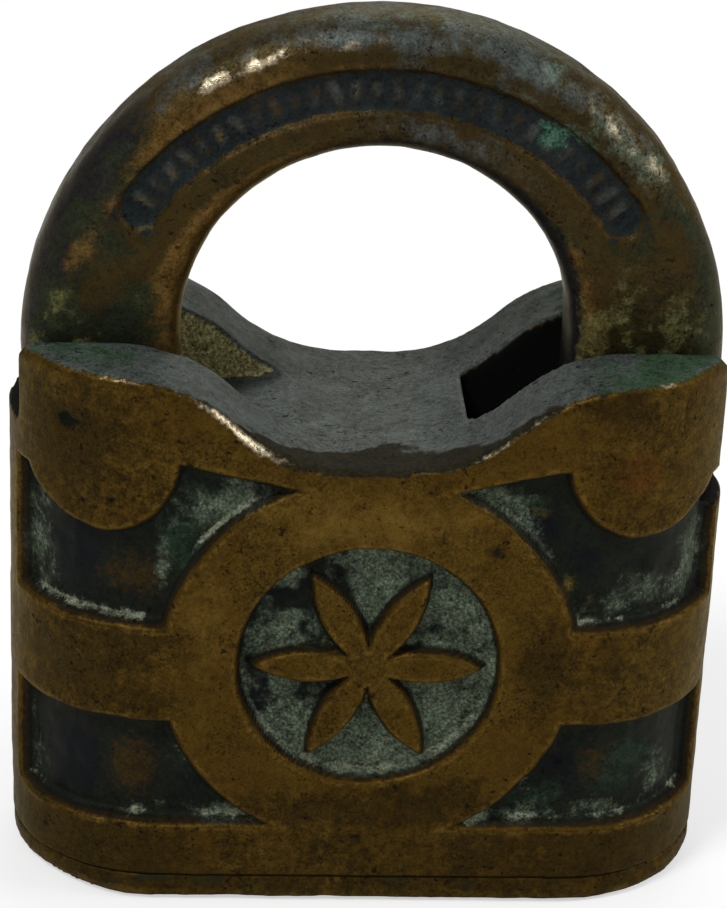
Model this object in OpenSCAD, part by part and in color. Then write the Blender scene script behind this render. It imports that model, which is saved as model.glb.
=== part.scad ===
// Heavy cast-bronze padlock: oval case with relief panels, a broad swinging shackle and,
// inside, a five-pin cylinder that drives a sliding bolt into the shackle's toe.
// Frame: +Z up, front face towards -Y, origin at the middle of the flat base.
// Stored unlocked: the plug a quarter turn on, the bolt drawn back, the shackle swung home.

/* [Case] */
// Width of the case across its rounded ends
case_w = 57.8; // [52:0.2:70]
// Depth of the case, front to back
case_d = 24.8; // [23:0.2:31]
// Metal between the inner chamber and the front or back face
wall = 4; // [3:0.1:5.4]
// Metal over the bolt, at the lowest point of the saddle
roof = 5.8; // [5:0.1:8]
// Height of the two top lobes above the lowest point of the saddle
lobe_rise = 7.3; // [5:0.1:9]
// Radius of the lobes' top outer corners
lobe_corner = 3; // [1:0.1:5]
// Width of the flat at the bottom of the saddle
saddle_flat = 4; // [0:0.5:8]
// Half of the saddle's width, from the middle to where the lobes level out
saddle_half = 20; // [18:0.1:24]

/* [Relief] */
// Depth of the sunk panels and of the medallion's ground
relief = 1.3; // [0.6:0.1:2]
// Width of the plain rib down each end of the case
rib_w = 8.8; // [4:0.1:10]
// Radius of the round ring in the middle of each face
ring_r = 16.3; // [14:0.1:17.5]
// Radius of the sunk medallion inside the ring
medallion_r = 10.6; // [8:0.05:12.5]
// Radius of the six-petal rosette on the medallion
rosette_r = 8.8; // [6:0.1:10]
// Radius of the eye in the middle of the rosette
rosette_eye = 1.6; // [1:0.1:3]
// Step from the face back to the top of the rosette
rosette_low = 0.1; // [0:0.1:0.5]
// Drop from the saddle's lowest point to the medallion's centre
medallion_drop = 17.2; // [15:0.1:18]
// Radius of the round lobe that each top corner carries
lobe_r = 6.3; // [5:0.1:7]
// Top of the plain band at the foot of the case
foot_band = 7; // [5:0.1:9]
// Height of the middle band below the medallion's centre
band_below = 4.9; // [3:0.1:6]
// Height of the middle band above the medallion's centre
band_above = 3.2; // [2:0.1:5]

/* [Base plate] */
// Thickness of the riveted base plate
base_t = 2.5; // [2:0.1:4]
// Radius of the base plate's lower edge
base_round = 0.9; // [0.3:0.1:1.4]
// Radius of the two base rivets
rivet_r = 1.6; // [1:0.1:2]
// Length of the base rivets above the plate
rivet_grip = 7.5; // [4:0.5:12]

/* [Shackle] */
// Thickness of the shackle, front to back
shackle_t = 9; // [7:0.1:10]
// Width of each shackle leg
leg_w = 12.7; // [9:0.05:13.5]
// Outer radius of the arch less its height over the legs' centre line
arch_t = 10.4; // [8:0.1:12]
// Gap from the shackle's outside to the end of the case
shackle_inset = 1; // [0.4:0.1:1.5]
// Height of the arch's centre above the saddle's lowest point
arch_lift = 5.45; // [4:0.05:10]
// Rounding of the shackle's outer edges
outer_round = 3.5; // [1:0.1:4]
// Rounding of the shackle's inner edges
inner_round = 2.4; // [0.6:0.1:3]
// Width of the sunk band around the arch
band_w = 3.4; // [2:0.1:4.5]
// Distance from the shackle's outside to the sunk band
band_in = 3.7; // [2.6:0.1:5]
// Depth of the sunk band
band_d = 0.8; // [0.3:0.1:1.2]
// Angle of the sunk band each side of the top
band_angle = 56; // [30:1:70]
// Radius of the hinge pin through the heel
pivot_r = 2.6; // [2:0.1:3.2]
// Height of the hinge pin above the saddle's lowest point
pivot_lift = 0.7; // [0:0.1:2]
// Depth of the toe below the saddle's lowest point
toe_depth = 12.4; // [11.6:0.1:13.2]
// Width of the toe's tongue below the shoulder
tongue_w = 6.8; // [6:0.05:7.2]
// Height of the toe's shoulder above the saddle's lowest point
shoulder_lift = 2.5; // [1:0.1:4]
// Clearance between the shackle and the sides of its slots
slot_gap = 0.3; // [0.2:0.05:0.6]
// Distance from the middle to the inner end of the heel's slot
heel_slot_in = 7.6; // [5.5:0.1:11]
// Distance from the middle to the upper end of the toe's ramp
ramp_in = 6; // [4:0.1:10]
// Drop of the ramp's lower end below the saddle's lowest point
ramp_drop = 0.5; // [0.2:0.1:2]

/* [Cylinder] */
// Radius of the plug
plug_r = 5.5; // [4.8:0.05:5.8]
// Running clearance of the plug and of the hinge pin, on the radius
run_gap = 0.06; // [0.02:0.01:0.09]
// Number of pin stacks
pin_count = 5; // [3:1:6]
// Distance between two pin stacks
pin_pitch = 3.96; // [3.6:0.01:4.4]
// Radius of the pins
pin_r = 1.45; // [1.1:0.05:1.6]
// Length of the driver pins
driver_len = 3.4; // [2.5:0.1:5]
// Length of the compressed pin springs
spring_len = 6; // [4.5:0.1:8]
// Radius of the pin springs' wire
spring_wire = 0.16; // [0.12:0.01:0.22]
// Turns in each pin spring
spring_turns = 7; // [4:1:9]
// Thickness of the strip that closes the pin chambers
strip_t = 0.8; // [0.5:0.1:1.2]
// Width of the keyway
keyway_w = 1.8; // [1.2:0.1:2.2]

/* [Bolt] */
// Height of the bolt
bolt_h = 3.9; // [3:0.1:5]
// Half the width of the bolt's body
bolt_half = 3.9; // [3.7:0.1:4.2]
// Half the width of the bolt's nose
nose_half = 3; // [2:0.1:3.4]
// Distance of the drive pin from the plug's axis
crank_r = 2.2; // [1.9:0.05:2.4]
// Radius of the drive pin
crank_pin_r = 0.9; // [0.6:0.05:1]
// Thickness of the cam on the plug
cam_t = 1.7; // [1.2:0.1:2.4]
// Thickness of the keeper plate under the bolt
keeper_t = 1.6; // [1:0.1:2.4]
// Sliding clearance round the bolt
bolt_gap = 0.15; // [0.1:0.05:0.3]

/* [Hidden] */
$fn = 64;
eps = 0.01;
seat = 0.02;        // clearance of a driven pin or rivet, so that its surfaces stay apart
far = 200;

// Plan of the case: a straight middle with two half-round ends.
end_r = case_d / 2;
end_x = case_w / 2 - end_r;

// The stack inside the case, from the base upwards.
first_pin = base_t + 3.7;
shell_top = first_pin + (pin_count - 1) * pin_pitch + 2.4;
plug_foot = 0.4;
plug_head_r = plug_r + 0.8;
plug_head_top = base_t - 0.1;
plug_top = shell_top + 0.5;
cam_z = plug_top + 0.1;
keeper_z = cam_z + cam_t + 0.75;
ceiling = keeper_z + keeper_t;
bolt_z = ceiling + 0.1;
bolt_top = bolt_z + bolt_h;
saddle_z = bolt_top + bolt_gap + roof;
lobe_top = saddle_z + lobe_rise;

// Relief heights.
medallion_z = saddle_z - medallion_drop;
rib_x = end_x + sqrt(pow(end_r, 2) - pow(rib_w / 2, 2));

// Shackle: outer half circle over two straight legs.
outer_x = case_w / 2 - shackle_inset;
inner_x = outer_x - leg_w;
arch_z = saddle_z + arch_lift;
arch_top = arch_z + outer_x;
inner_z = arch_top - arch_t - inner_x;
leg_x = (outer_x + inner_x) / 2;
pivot_z = saddle_z + pivot_lift;
heel_r = leg_w / 2 + 0.02;
shoulder_z = saddle_z + shoulder_lift;
toe_z = saddle_z - toe_depth;
slot_w = shackle_t + 2 * slot_gap;

// The toe swings on these radii about the hinge pin.
tongue_out = inner_x + tongue_w;
toe_swing = sqrt(pow(leg_x + tongue_out, 2) + pow(pivot_z - toe_z, 2)) - leg_x;
toe_slot_in = inner_x - 0.35;
toe_slot_out = toe_swing + 0.45;
toe_floor = toe_z - 0.4;
toe_shelf = shoulder_z - 1.9;
heel_floor = pivot_z - heel_r - 0.3;

// Cylinder shell and its chamber.
chamber_y = end_r - wall;
shell_r = chamber_y - 0.2;
bible_half = pin_r + 2.5;
spring_in = plug_r + 0.1 + driver_len;
bible_x = spring_in + spring_len;
strip_x = bible_x + strip_t;
chamber_x = max(18, strip_x + 0.5);
chamber_top = shell_top + 0.1;
loft_y = chamber_y - 1.2;
loft_in = -9.3;
keeper_x = 10.7;
loft_x = keeper_x + 0.3;
rivet_x = (chamber_x + case_w / 2) / 2 - 0.9;
dowel_x = (plug_r + bible_x) / 2 + 1;
dowel_r = 1;
dowel_top = base_t + 1.7;

// Bolt: the drive pin swings 45 degrees each side of the middle, so the throw is almost even.
stored_turn = 45;
bolt_throw = 2 * crank_r * sin(stored_turn);
crank_x = crank_r * sin(stored_turn);
nose_in = toe_slot_in - 0.6;
nose_len = 5.9;
bolt_end = crank_x + crank_pin_r + 1.75;
slot_half = crank_pin_r + 0.2;
notch_d = bolt_throw - 0.6 - (inner_x - toe_slot_in) + 0.45;

// ---------------------------------------------------------------- shared shapes

// Plan of the case, taken in by a margin.
module plan(inset = 0) {
    square([2 * end_x, 2 * (end_r - inset)], center = true);
    for (s = [-1, 1])
        translate([s * end_x, 0]) circle(end_r - inset);
}

// Pushes a shape drawn in X and Z through the case, centred front to back.
module through_y(depth) {
    translate([0, depth / 2, 0]) rotate([90, 0, 0]) linear_extrude(depth) children();
}

// A rectangle given by its two corners.
module span(x0, y0, x1, y1) {
    translate([x0, y0]) square([x1 - x0, y1 - y0]);
}

// A rectangle with round corners, exact arcs.
module round_span(x0, y0, x1, y1, r) {
    span(x0 + r, y0, x1 - r, y1);
    span(x0, y0 + r, x1, y1 - r);
    for (x = [x0 + r, x1 - r], y = [y0 + r, y1 - r])
        translate([x, y]) circle(r);
}

// Height of the saddle at x: a flat, then two equal arcs up to each lobe.
run = saddle_half - saddle_flat / 2;
saddle_r = (run * run + lobe_rise * lobe_rise) / (4 * lobe_rise);
function saddle(x) =
    let (a = abs(x), in = a - saddle_flat / 2, out = saddle_half - a)
    in <= 0 ? saddle_z :
    out <= 0 ? lobe_top :
    in < run / 2 ? saddle_z + saddle_r - sqrt(pow(saddle_r, 2) - in * in)
                 : lobe_top - saddle_r + sqrt(pow(saddle_r, 2) - out * out);

// A helical spring standing along +Z from the origin.
module coil(r, wire, length, turns) {
    sides = 6;
    per_turn = 12;
    rings = turns * per_turn;
    climb = length - 2 * wire;
    points = [for (i = [0:rings], k = [0:sides - 1])
        let (a = 360 * i / per_turn, b = 360 * k / sides, q = r - wire + wire * cos(b))
        [q * cos(a), q * sin(a), wire + climb * i / rings + wire * sin(b)]];
    skin = [for (i = [0:rings - 1], k = [0:sides - 1])
        let (j = (k + 1) % sides)
        [i * sides + k, i * sides + j, (i + 1) * sides + j, (i + 1) * sides + k]];
    foot = [[for (k = [sides - 1:-1:0]) k]];
    head = [[for (k = [0:sides - 1]) rings * sides + k]];
    polyhedron(points, concat(skin, foot, head));
}

// Countersunk rivet or dowel hole shape along Z.
module sunk_pin(r, head_r, head_h, z0, z1) {
    translate([0, 0, z0]) cylinder(h = z1 - z0, r = r);
    translate([0, 0, z0]) cylinder(h = head_h, r1 = head_r, r2 = r);
}

// ---------------------------------------------------------------- case

// Front outline of the case, with the saddle between its two lobes.
module case_outline() {
    steps = 40;
    c = lobe_corner;
    polygon(concat(
        [[-case_w / 2, base_t], [case_w / 2, base_t]],
        [for (a = [0:15:90]) [case_w / 2 - c + c * cos(a), lobe_top - c + c * sin(a)]],
        [for (i = [0:steps]) let (x = saddle_half * (1 - 2 * i / steps)) [x, saddle(x)]],
        [for (a = [90:15:180]) [c - case_w / 2 + c * cos(a), lobe_top - c + c * sin(a)]]));
}

// Six petals round a small eye, each petal where two circles of the rosette's radius overlap.
module rosette() {
    for (a = [0:60:300]) intersection() {
        rotate(a) translate([rosette_r, 0]) circle(rosette_r);
        rotate(a + 60 + 60) translate([rosette_r, 0]) circle(rosette_r);
    }
    circle(rosette_eye);
}

// Sunk panels of one face: two each side of the ring.
module panel_areas() {
    tip_x = 5.4;
    tip_z = medallion_z + sqrt(pow(ring_r, 2) - pow(tip_x, 2));
    difference() {
        for (s = [-1, 1]) scale_x(s) {
            polygon([[tip_x, tip_z], [leg_x - lobe_r, pivot_z - 0.3], [rib_x, pivot_z],
                     [rib_x, medallion_z + band_above], [0, medallion_z + band_above], [0, tip_z - 5]]);
            span(0, foot_band, rib_x, medallion_z - band_below);
        }
        translate([0, medallion_z]) circle(ring_r);
        for (s = [-1, 1]) translate([s * leg_x, pivot_z]) circle(lobe_r);
    }
}

// Mirrors a flat shape left to right when s is -1.
module scale_x(s) {
    if (s > 0) children();
    else mirror([1, 0]) children();
}

// The relief: panels cut down to the inset plan, clear of the end ribs, and two round medallions.
module relief_cut() {
    difference() {
        through_y(case_d + 2) panel_areas();
        translate([0, 0, -1]) linear_extrude(far) plan(relief);
        translate([-far / 2, -rib_w / 2, -1]) cube([far, rib_w, far]);
    }
    for (s = [-1, 1]) translate([0, s * (end_r + 0.5 - relief / 2), 0])
        through_y(relief + 1) translate([0, medallion_z]) circle(medallion_r);
}

// The rosettes, standing from the medallions' grounds almost to the face.
module rosettes() {
    for (s = [-1, 1]) translate([0, s * (end_r - (relief + rosette_low + 1) / 2), 0])
        through_y(relief - rosette_low + 1) translate([0, medallion_z]) rosette();
}

// Slots for the shackle: deep at the heel, stepped and ramped at the toe.
module shackle_slots() {
    through_y(slot_w) {
        span(heel_slot_in, heel_floor, case_w, lobe_top + 1);
        span(-toe_slot_out, toe_floor, -toe_slot_in, lobe_top + 1);
        span(-case_w, toe_shelf, -toe_slot_out + eps, lobe_top + 1);
        polygon([[-toe_slot_in - eps, saddle_z - ramp_drop], [-ramp_in, saddle(ramp_in)],
                 [-ramp_in, lobe_top + 1], [-toe_slot_in - eps, lobe_top + 1]]);
    }
}

// Chambers for the cylinder, the cam and keeper, and the bolt's channel.
module inner_chambers() {
    translate([0, 0, base_t - 1]) linear_extrude(chamber_top - base_t + 1)
        round_span(-chamber_x, -chamber_y, chamber_x, chamber_y, 2);
    translate([0, 0, chamber_top - 1]) linear_extrude(ceiling - chamber_top + 1)
        round_span(loft_in, -loft_y, loft_x, loft_y, 1.5);
    body_in = nose_in - nose_len + bolt_throw + bolt_gap;
    translate([-body_in, -bolt_half - bolt_gap, ceiling - eps])
        cube([body_in + bolt_end + 0.4, 2 * (bolt_half + bolt_gap), bolt_top + bolt_gap - ceiling + eps]);
    translate([-toe_slot_in - 0.5, -nose_half - bolt_gap, ceiling - eps])
        cube([toe_slot_in, 2 * (nose_half + bolt_gap), bolt_top + bolt_gap - ceiling + eps]);
}

module case_body() {
    color("peru") {
        case_shell();
        rosettes();
    }
}

module case_shell() {
    difference() {
        intersection() {
            through_y(case_d + 2) case_outline();
            linear_extrude(far) plan();
        }
        relief_cut();
        shackle_slots();
        inner_chambers();
        translate([leg_x, end_r + 1, pivot_z]) rotate([90, 0, 0]) cylinder(h = case_d + 2, r = pivot_r + seat);
        for (s = [-1, 1]) {
            translate([s * rivet_x, 0, base_t - 1]) cylinder(h = rivet_grip + 1.3, r = rivet_r + seat);
            translate([keeper_x - 2.7, s * 4, ceiling - 1]) cylinder(h = 4, r = 0.9 + seat);
        }
    }
}

// ---------------------------------------------------------------- base plate

// Section of the plate from its middle to one edge, with the lower edge rounded.
module plate_section(r) {
    difference() {
        square([r, base_t]);
        translate([r - base_round, 0]) square([base_round + 1, base_round]);
    }
    translate([r - base_round, base_round]) intersection() {
        circle(base_round);
        translate([0, -base_round]) square(base_round);
    }
}

module base_plate() {
    plate_r = end_r - 0.08;
    color("sienna") difference() {
        union() {
            for (s = [-1, 1]) translate([s * end_x, 0, 0]) rotate_extrude() plate_section(plate_r);
            for (s = [0, 180]) rotate([0, 0, s]) rotate([90, 0, 90])
                translate([0, 0, -end_x]) linear_extrude(2 * end_x) plate_section(plate_r);
        }
        translate([0, 0, -1]) cylinder(h = base_t + 2, r = plug_head_r + 0.15);
        for (s = [-1, 1]) translate([s * rivet_x, 0, 0]) {
            sunk_pin(rivet_r + seat, rivet_r + 1.2 + seat, 1.2, -eps, base_t + 1);
        }
        translate([dowel_x, 0, plug_foot]) cylinder(h = base_t, r = dowel_r + seat);
    }
}

module base_rivet(s) {
    color("darkgoldenrod") translate([s * rivet_x, 0, 0])
        sunk_pin(rivet_r, rivet_r + 1.1, 1.1, 0.05, base_t + rivet_grip);
}

// ---------------------------------------------------------------- shackle

// Half section of the solid arch or leg: r from the middle out, rounded outer edges.
module outer_section(r) {
    t = shackle_t / 2;
    intersection() {
        union() {
            span(0, -t, r - outer_round, t);
            span(0, outer_round - t, r, t - outer_round);
            for (y = [outer_round - t, t - outer_round]) translate([r - outer_round, y]) circle(outer_round);
        }
        span(0, -t, r, t);
    }
}

// Half section of the opening: everything inside r, flared to round the inner edges.
module inner_section(r) {
    t = shackle_t / 2;
    span(0, -t - 1, r, t + 1);
    for (s = [-1, 1]) difference() {
        span(r - eps, s > 0 ? t - inner_round : -t - 1, r + inner_round, s > 0 ? t + 1 : inner_round - t);
        translate([r + inner_round, s * (t - inner_round)]) circle(inner_round);
    }
}

// Turns a section about the front-to-back axis through the point (0, z): its upper half.
module arch(z) {
    translate([0, 0, z]) rotate([90, 0, 0]) rotate_extrude(angle = 180) children();
}

// Runs a section straight up both legs.
module legs(z0, z1) {
    for (s = [0, 180]) translate([0, 0, z0]) rotate([0, 0, s]) linear_extrude(z1 - z0) children();
}

// Heel: the round end that turns on the hinge pin.
module heel() {
    through_y(shackle_t) {
        translate([leg_x, pivot_z]) circle(heel_r);
    }
}

// Toe: a narrower tongue below the shoulder, notched for the bolt.
module toe() {
    through_y(shackle_t) difference() {
        span(-tongue_out, toe_z, -inner_x, shoulder_z + 1);
        span(-inner_x - notch_d, bolt_z - 0.2, -inner_x + 1, bolt_top + 0.3);
    }
}

// The sunk band round the arch, on one face.
module arch_band(s) {
    mid = outer_x - band_in - band_w / 2;
    translate([0, s * (shackle_t / 2 - band_d), arch_z]) rotate([90, 0, 0])
        translate([0, 0, s > 0 ? -band_d - 1 : 0]) linear_extrude(band_d + 1) {
            intersection() {
                difference() {
                    circle(mid + band_w / 2);
                    circle(mid - band_w / 2);
                }
                polygon([[0, 0], 60 * [-sin(band_angle), cos(band_angle)], [0, 100],
                         60 * [sin(band_angle), cos(band_angle)]]);
            }
            for (a = [-band_angle, band_angle])
                translate(mid * [sin(a), cos(a)]) circle(band_w / 2);
        }
}

module shackle() {
    color("darkgoldenrod") difference() {
        union() {
            difference() {
                union() {
                    arch(arch_z) outer_section(outer_x);
                    legs(pivot_z, arch_z) outer_section(outer_x);
                }
                arch(inner_z) inner_section(inner_x);
                legs(pivot_z - 1, inner_z) inner_section(inner_x);
                translate([-far / 2, -far / 2, 0]) cube([far / 2, far, shoulder_z]);
            }
            heel();
            toe();
        }
        for (s = [-1, 1]) arch_band(s);
        translate([leg_x, end_r, pivot_z]) rotate([90, 0, 0]) cylinder(h = case_d, r = pivot_r + run_gap);
    }
}

// The hinge pin, dressed off flush with the rounded case.
module hinge_pin() {
    color("dimgray") intersection() {
        translate([leg_x, end_r, pivot_z]) rotate([90, 0, 0]) cylinder(h = case_d, r = pivot_r);
        linear_extrude(far) plan(0.05);
    }
}

// ---------------------------------------------------------------- cylinder

module at_pins() {
    for (i = [0:pin_count - 1]) translate([0, 0, first_pin + i * pin_pitch]) children();
}

module cylinder_shell() {
    color("goldenrod") difference() {
        union() {
            translate([0, 0, base_t]) cylinder(h = shell_top - base_t, r = shell_r);
            translate([0, -bible_half, base_t]) cube([bible_x, 2 * bible_half, shell_top - base_t]);
        }
        translate([0, 0, base_t - 1]) cylinder(h = shell_top, r = plug_r + run_gap);
        at_pins() rotate([0, 90, 0]) cylinder(h = far, r = pin_r + 0.05);
        translate([dowel_x, 0, base_t - 1]) cylinder(h = dowel_top - base_t + 1.2, r = dowel_r + seat);
    }
}

module shell_dowel() {
    color("gray") translate([dowel_x, 0, plug_foot + 0.1]) cylinder(h = dowel_top - plug_foot - 0.1, r = dowel_r);
}

module chamber_strip() {
    color("khaki") translate([bible_x, -pin_r - 0.8, base_t + 0.6])
        cube([strip_t, 2 * pin_r + 1.6, shell_top - base_t - 1]);
}

// Turns the plug's own frame, in which the pins point along +X, to its stored quarter turn.
module plug_frame() {
    rotate([0, 0, -2 * stored_turn]) children();
}

// Keyway with a step in each side, open to the side of the plug away from the pins.
module keyway() {
    h = keyway_w / 2;
    polygon([[-plug_r - 2, -h], [-3, -h], [-3, -h + 0.6], [-1.2, -h + 0.6], [-1.2, -h], [2.4, -h],
             [2.4, h], [0.4, h], [0.4, h - 0.6], [-1.2, h - 0.6], [-1.2, h], [-plug_r - 2, h]]);
}

module cylinder_plug() {
    color("gold") plug_frame() difference() {
        union() {
            translate([0, 0, plug_foot]) cylinder(h = plug_head_top - plug_foot, r = plug_head_r);
            translate([0, 0, plug_foot]) cylinder(h = plug_top - plug_foot, r = plug_r);
        }
        intersection() {
            translate([0, 0, plug_foot - 1]) linear_extrude(shell_top - plug_foot) keyway();
            translate([0, 0, plug_foot - 2]) cylinder(h = far, r = plug_r + eps);
        }
        at_pins() rotate([0, 90, 0]) cylinder(h = plug_r + 1, r = pin_r + 0.05);
        for (s = [-1, 1]) rotate([0, 0, cam_screw_angle(s)]) translate([cam_screw_in, 0, plug_top - 1.2])
            cylinder(h = 3, r = 0.55 + seat);
    }
}

// The cam's two screws sit across the axis from its drive pin.
cam_screw_in = 3;
crank_angle = 90 + stored_turn;
function cam_screw_angle(s) = crank_angle + 180 + s * 50;

module drive_cam() {
    color("lightgray") plug_frame() difference() {
        translate([0, 0, plug_top]) cylinder(h = cam_t, r = min(crank_r + 2.1, plug_r - 0.5));
        for (s = [-1, 1]) rotate([0, 0, cam_screw_angle(s)]) translate([cam_screw_in, 0, plug_top - 1])
            cylinder(h = cam_t + 2, r = 0.55 + seat);
        rotate([0, 0, crank_angle]) translate([crank_r, 0, plug_top - 1]) cylinder(h = cam_t + 2, r = crank_pin_r + seat);
    }
}

module cam_screw(s) {
    color("dimgray") plug_frame() rotate([0, 0, cam_screw_angle(s)]) translate([cam_screw_in, 0, 0]) {
        translate([0, 0, plug_top - 1.1]) cylinder(h = cam_t + 1.2, r = 0.55);
        translate([0, 0, plug_top + cam_t]) cylinder(h = 0.6, r = 1);
    }
}

module drive_pin() {
    color("silver") plug_frame() rotate([0, 0, crank_angle]) translate([crank_r, 0, plug_top + 0.1])
        cylinder(h = bolt_top - 0.4 - plug_top, r = crank_pin_r);
}

// Key pins lie in the turned plug, each cut to its own length.
key_pin_cuts = [4.6, 3.7, 4.2, 3.4, 4.9, 4];
module key_pin(n) {
    length = key_pin_cuts[n - 1];
    tip = 0.7;
    crown = sqrt(pow(plug_r, 2) - pow(pin_r, 2)) - 0.05;
    color("khaki") plug_frame() translate([crown - length, 0, first_pin + (n - 1) * pin_pitch]) rotate([0, 90, 0]) {
        cylinder(h = tip, r1 = 0.5, r2 = pin_r);
        translate([0, 0, tip]) cylinder(h = length - tip, r = pin_r);
    }
}

// Driver pins ride on the plug, pressed by their springs.
module driver_pin(n) {
    color("silver") translate([plug_r + 0.1, 0, first_pin + (n - 1) * pin_pitch]) rotate([0, 90, 0])
        cylinder(h = driver_len, r = pin_r);
}

module pin_spring(n) {
    color("dimgray") translate([spring_in, 0, first_pin + (n - 1) * pin_pitch]) rotate([0, 90, 0])
        coil(pin_r - 0.1, spring_wire, spring_len, spring_turns);
}

// ---------------------------------------------------------------- bolt

module locking_bolt() {
    color("darkkhaki") difference() {
        union() {
            translate([nose_len - nose_in, -bolt_half, bolt_z]) cube([nose_in - nose_len + bolt_end, 2 * bolt_half, bolt_h]);
            translate([-nose_in, -nose_half, bolt_z]) cube([nose_len + 1, 2 * nose_half, bolt_h]);
        }
        translate([crank_x - slot_half, crank_x - crank_pin_r - 0.3, bolt_z - 1])
            cube([2 * slot_half, crank_r + 2 * crank_pin_r + 0.5 - crank_x, bolt_h + 2]);
    }
}

module bolt_keeper() {
    color("rosybrown") difference() {
        translate([0, 0, keeper_z]) linear_extrude(keeper_t)
            round_span(loft_in + 0.3, 0.2 - loft_y, keeper_x, loft_y - 0.2, 1.5);
        translate([0, 0, keeper_z - 1]) cylinder(h = keeper_t + 2, r = crank_r + crank_pin_r + 0.5);
        for (s = [-1, 1]) translate([keeper_x - 2.7, s * 4, keeper_z - 1]) cylinder(h = keeper_t + 2, r = 0.9 + seat);
    }
}

module keeper_screw(s) {
    color("dimgray") translate([keeper_x - 2.7, s * 4, keeper_z]) {
        cylinder(h = keeper_t + 2.8, r = 0.9);
        translate([0, 0, -0.9]) cylinder(h = 0.9, r = 1.7);
    }
}

// ---------------------------------------------------------------- assembly

case_body();  // case
base_plate();
base_rivet(-1);  // base_rivet_left
base_rivet(1);  // base_rivet_right
shackle();
hinge_pin();
cylinder_shell();
shell_dowel();
chamber_strip();
cylinder_plug();
drive_cam();
cam_screw(-1);  // cam_screw_front
cam_screw(1);  // cam_screw_back
drive_pin();
locking_bolt();
bolt_keeper();
keeper_screw(-1);  // keeper_screw_front
keeper_screw(1);  // keeper_screw_back
for (n = [1:pin_count]) {
    key_pin(n);
    driver_pin(n);
    pin_spring(n);
}
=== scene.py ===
"""Weathered cast-bronze padlock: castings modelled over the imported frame, finishes, light and camera."""

import logging
import math
from dataclasses import dataclass, field
from enum import Enum
from typing import Dict, Sequence, Tuple

import bmesh
import bpy
import numpy as np
from mathutils import Matrix, Vector

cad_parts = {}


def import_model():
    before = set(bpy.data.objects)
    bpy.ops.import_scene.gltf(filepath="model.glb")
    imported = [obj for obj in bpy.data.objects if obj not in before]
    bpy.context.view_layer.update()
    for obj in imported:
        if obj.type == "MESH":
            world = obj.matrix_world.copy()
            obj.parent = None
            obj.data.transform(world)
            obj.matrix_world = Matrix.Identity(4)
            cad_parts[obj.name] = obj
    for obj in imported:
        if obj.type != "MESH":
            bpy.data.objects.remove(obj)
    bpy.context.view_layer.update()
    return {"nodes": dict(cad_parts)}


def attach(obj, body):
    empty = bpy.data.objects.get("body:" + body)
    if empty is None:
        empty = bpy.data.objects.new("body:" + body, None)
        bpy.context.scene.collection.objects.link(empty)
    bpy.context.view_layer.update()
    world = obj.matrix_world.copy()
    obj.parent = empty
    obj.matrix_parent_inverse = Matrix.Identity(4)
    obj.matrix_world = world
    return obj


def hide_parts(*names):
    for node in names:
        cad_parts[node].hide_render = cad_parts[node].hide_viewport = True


log = logging.getLogger("padlock")

MM = 0.001

LATTICE = 8192  # values in the noise table, a power of two
LATTICE_SHIFT = 57.3  # keeps the lattice's planes away from the object's middle
PRIMES = (73856093, 19349663, 83492791)  # spread a lattice cell over the table
OCTAVE_SHARE = 0.55  # strength of each finer size against the one before
WELD = 0.002  # millimetres under which two vertices are one
PLAN_SIDES = 160  # sides of the two round ends together
ABOVE_ALL = 60.0  # a height over the case's lobes, in millimetres
FAR = 99.0  # a distance that never decides a least distance, in millimetres
PETALS = 6

Array = np.ndarray
Rgba = Tuple[float, float, float, float]
Masks = Dict[str, Array]


# ------------------------------------------------------------------ small maths


def linear(red: int, green: int, blue: int) -> Rgba:
    """Turns a display colour, 0 to 255 a channel, into the linear colour that a shader takes.

    Args:
        red: Red channel.
        green: Green channel.
        blue: Blue channel.

    Returns:
        The linear colour with an alpha of 1.
    """
    def channel(value: float) -> float:
        """One channel, by the display curve."""
        v = value / 255.0
        return v / 12.92 if v <= 0.04045 else ((v + 0.055) / 1.055) ** 2.4

    return channel(red), channel(green), channel(blue), 1.0


def smooth(value: Array, low: float, high: float) -> Array:
    """Rises softly from 0 at low to 1 at high.

    Args:
        value: Where to look.
        low: Where the rise starts.
        high: Where it ends.

    Returns:
        The rise, 0 to 1.
    """
    t = np.clip((value - low) / (high - low), 0.0, 1.0)
    return t * t * (3.0 - 2.0 * t)


def bump(value: Array, centre: float, width: float) -> Array:
    """A bell of height 1 round a centre.

    Args:
        value: Where to look.
        centre: Where the bell is highest.
        width: Its spread.

    Returns:
        The bell's height, 0 to 1.
    """
    return np.exp(-((value - centre) / width) ** 2)


def grain(points: Array, scale: float, seed: int) -> Array:
    """Smooth lattice noise, the same on every run.

    Args:
        points: Points, three columns, in millimetres.
        scale: Size of one lump, in millimetres.
        seed: Which pattern.

    Returns:
        One value a point, -1 to 1.
    """
    table = np.random.default_rng(seed).uniform(-1.0, 1.0, LATTICE)
    q = points / scale + LATTICE_SHIFT
    base = np.floor(q).astype(np.int64)
    f = q - base
    f = f * f * f * (f * (f * 6.0 - 15.0) + 10.0)
    total = np.zeros(len(points))
    for corner in range(8):
        step = np.array([corner & 1, corner >> 1 & 1, corner >> 2 & 1])
        cell = base + step
        key = (cell[:, 0] * PRIMES[0] ^ cell[:, 1] * PRIMES[1] ^ cell[:, 2] * PRIMES[2]) & (LATTICE - 1)
        weight = np.prod(np.where(step == 1, f, 1.0 - f), axis=1)
        total += weight * table[key]
    return total


def rough_grain(points: Array, scale: float, seed: int, octaves: int = 3) -> Array:
    """Noise of several sizes laid over each other.

    Args:
        points: Points in millimetres.
        scale: Size of the largest lump.
        seed: Which pattern.
        octaves: How many sizes, each half the one before.

    Returns:
        One value a point, about -1 to 1.
    """
    total, share = np.zeros(len(points)), 1.0
    for octave in range(octaves):
        total += share * grain(points, scale / 2 ** octave, seed + octave)
        share *= OCTAVE_SHARE
    return total


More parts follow.
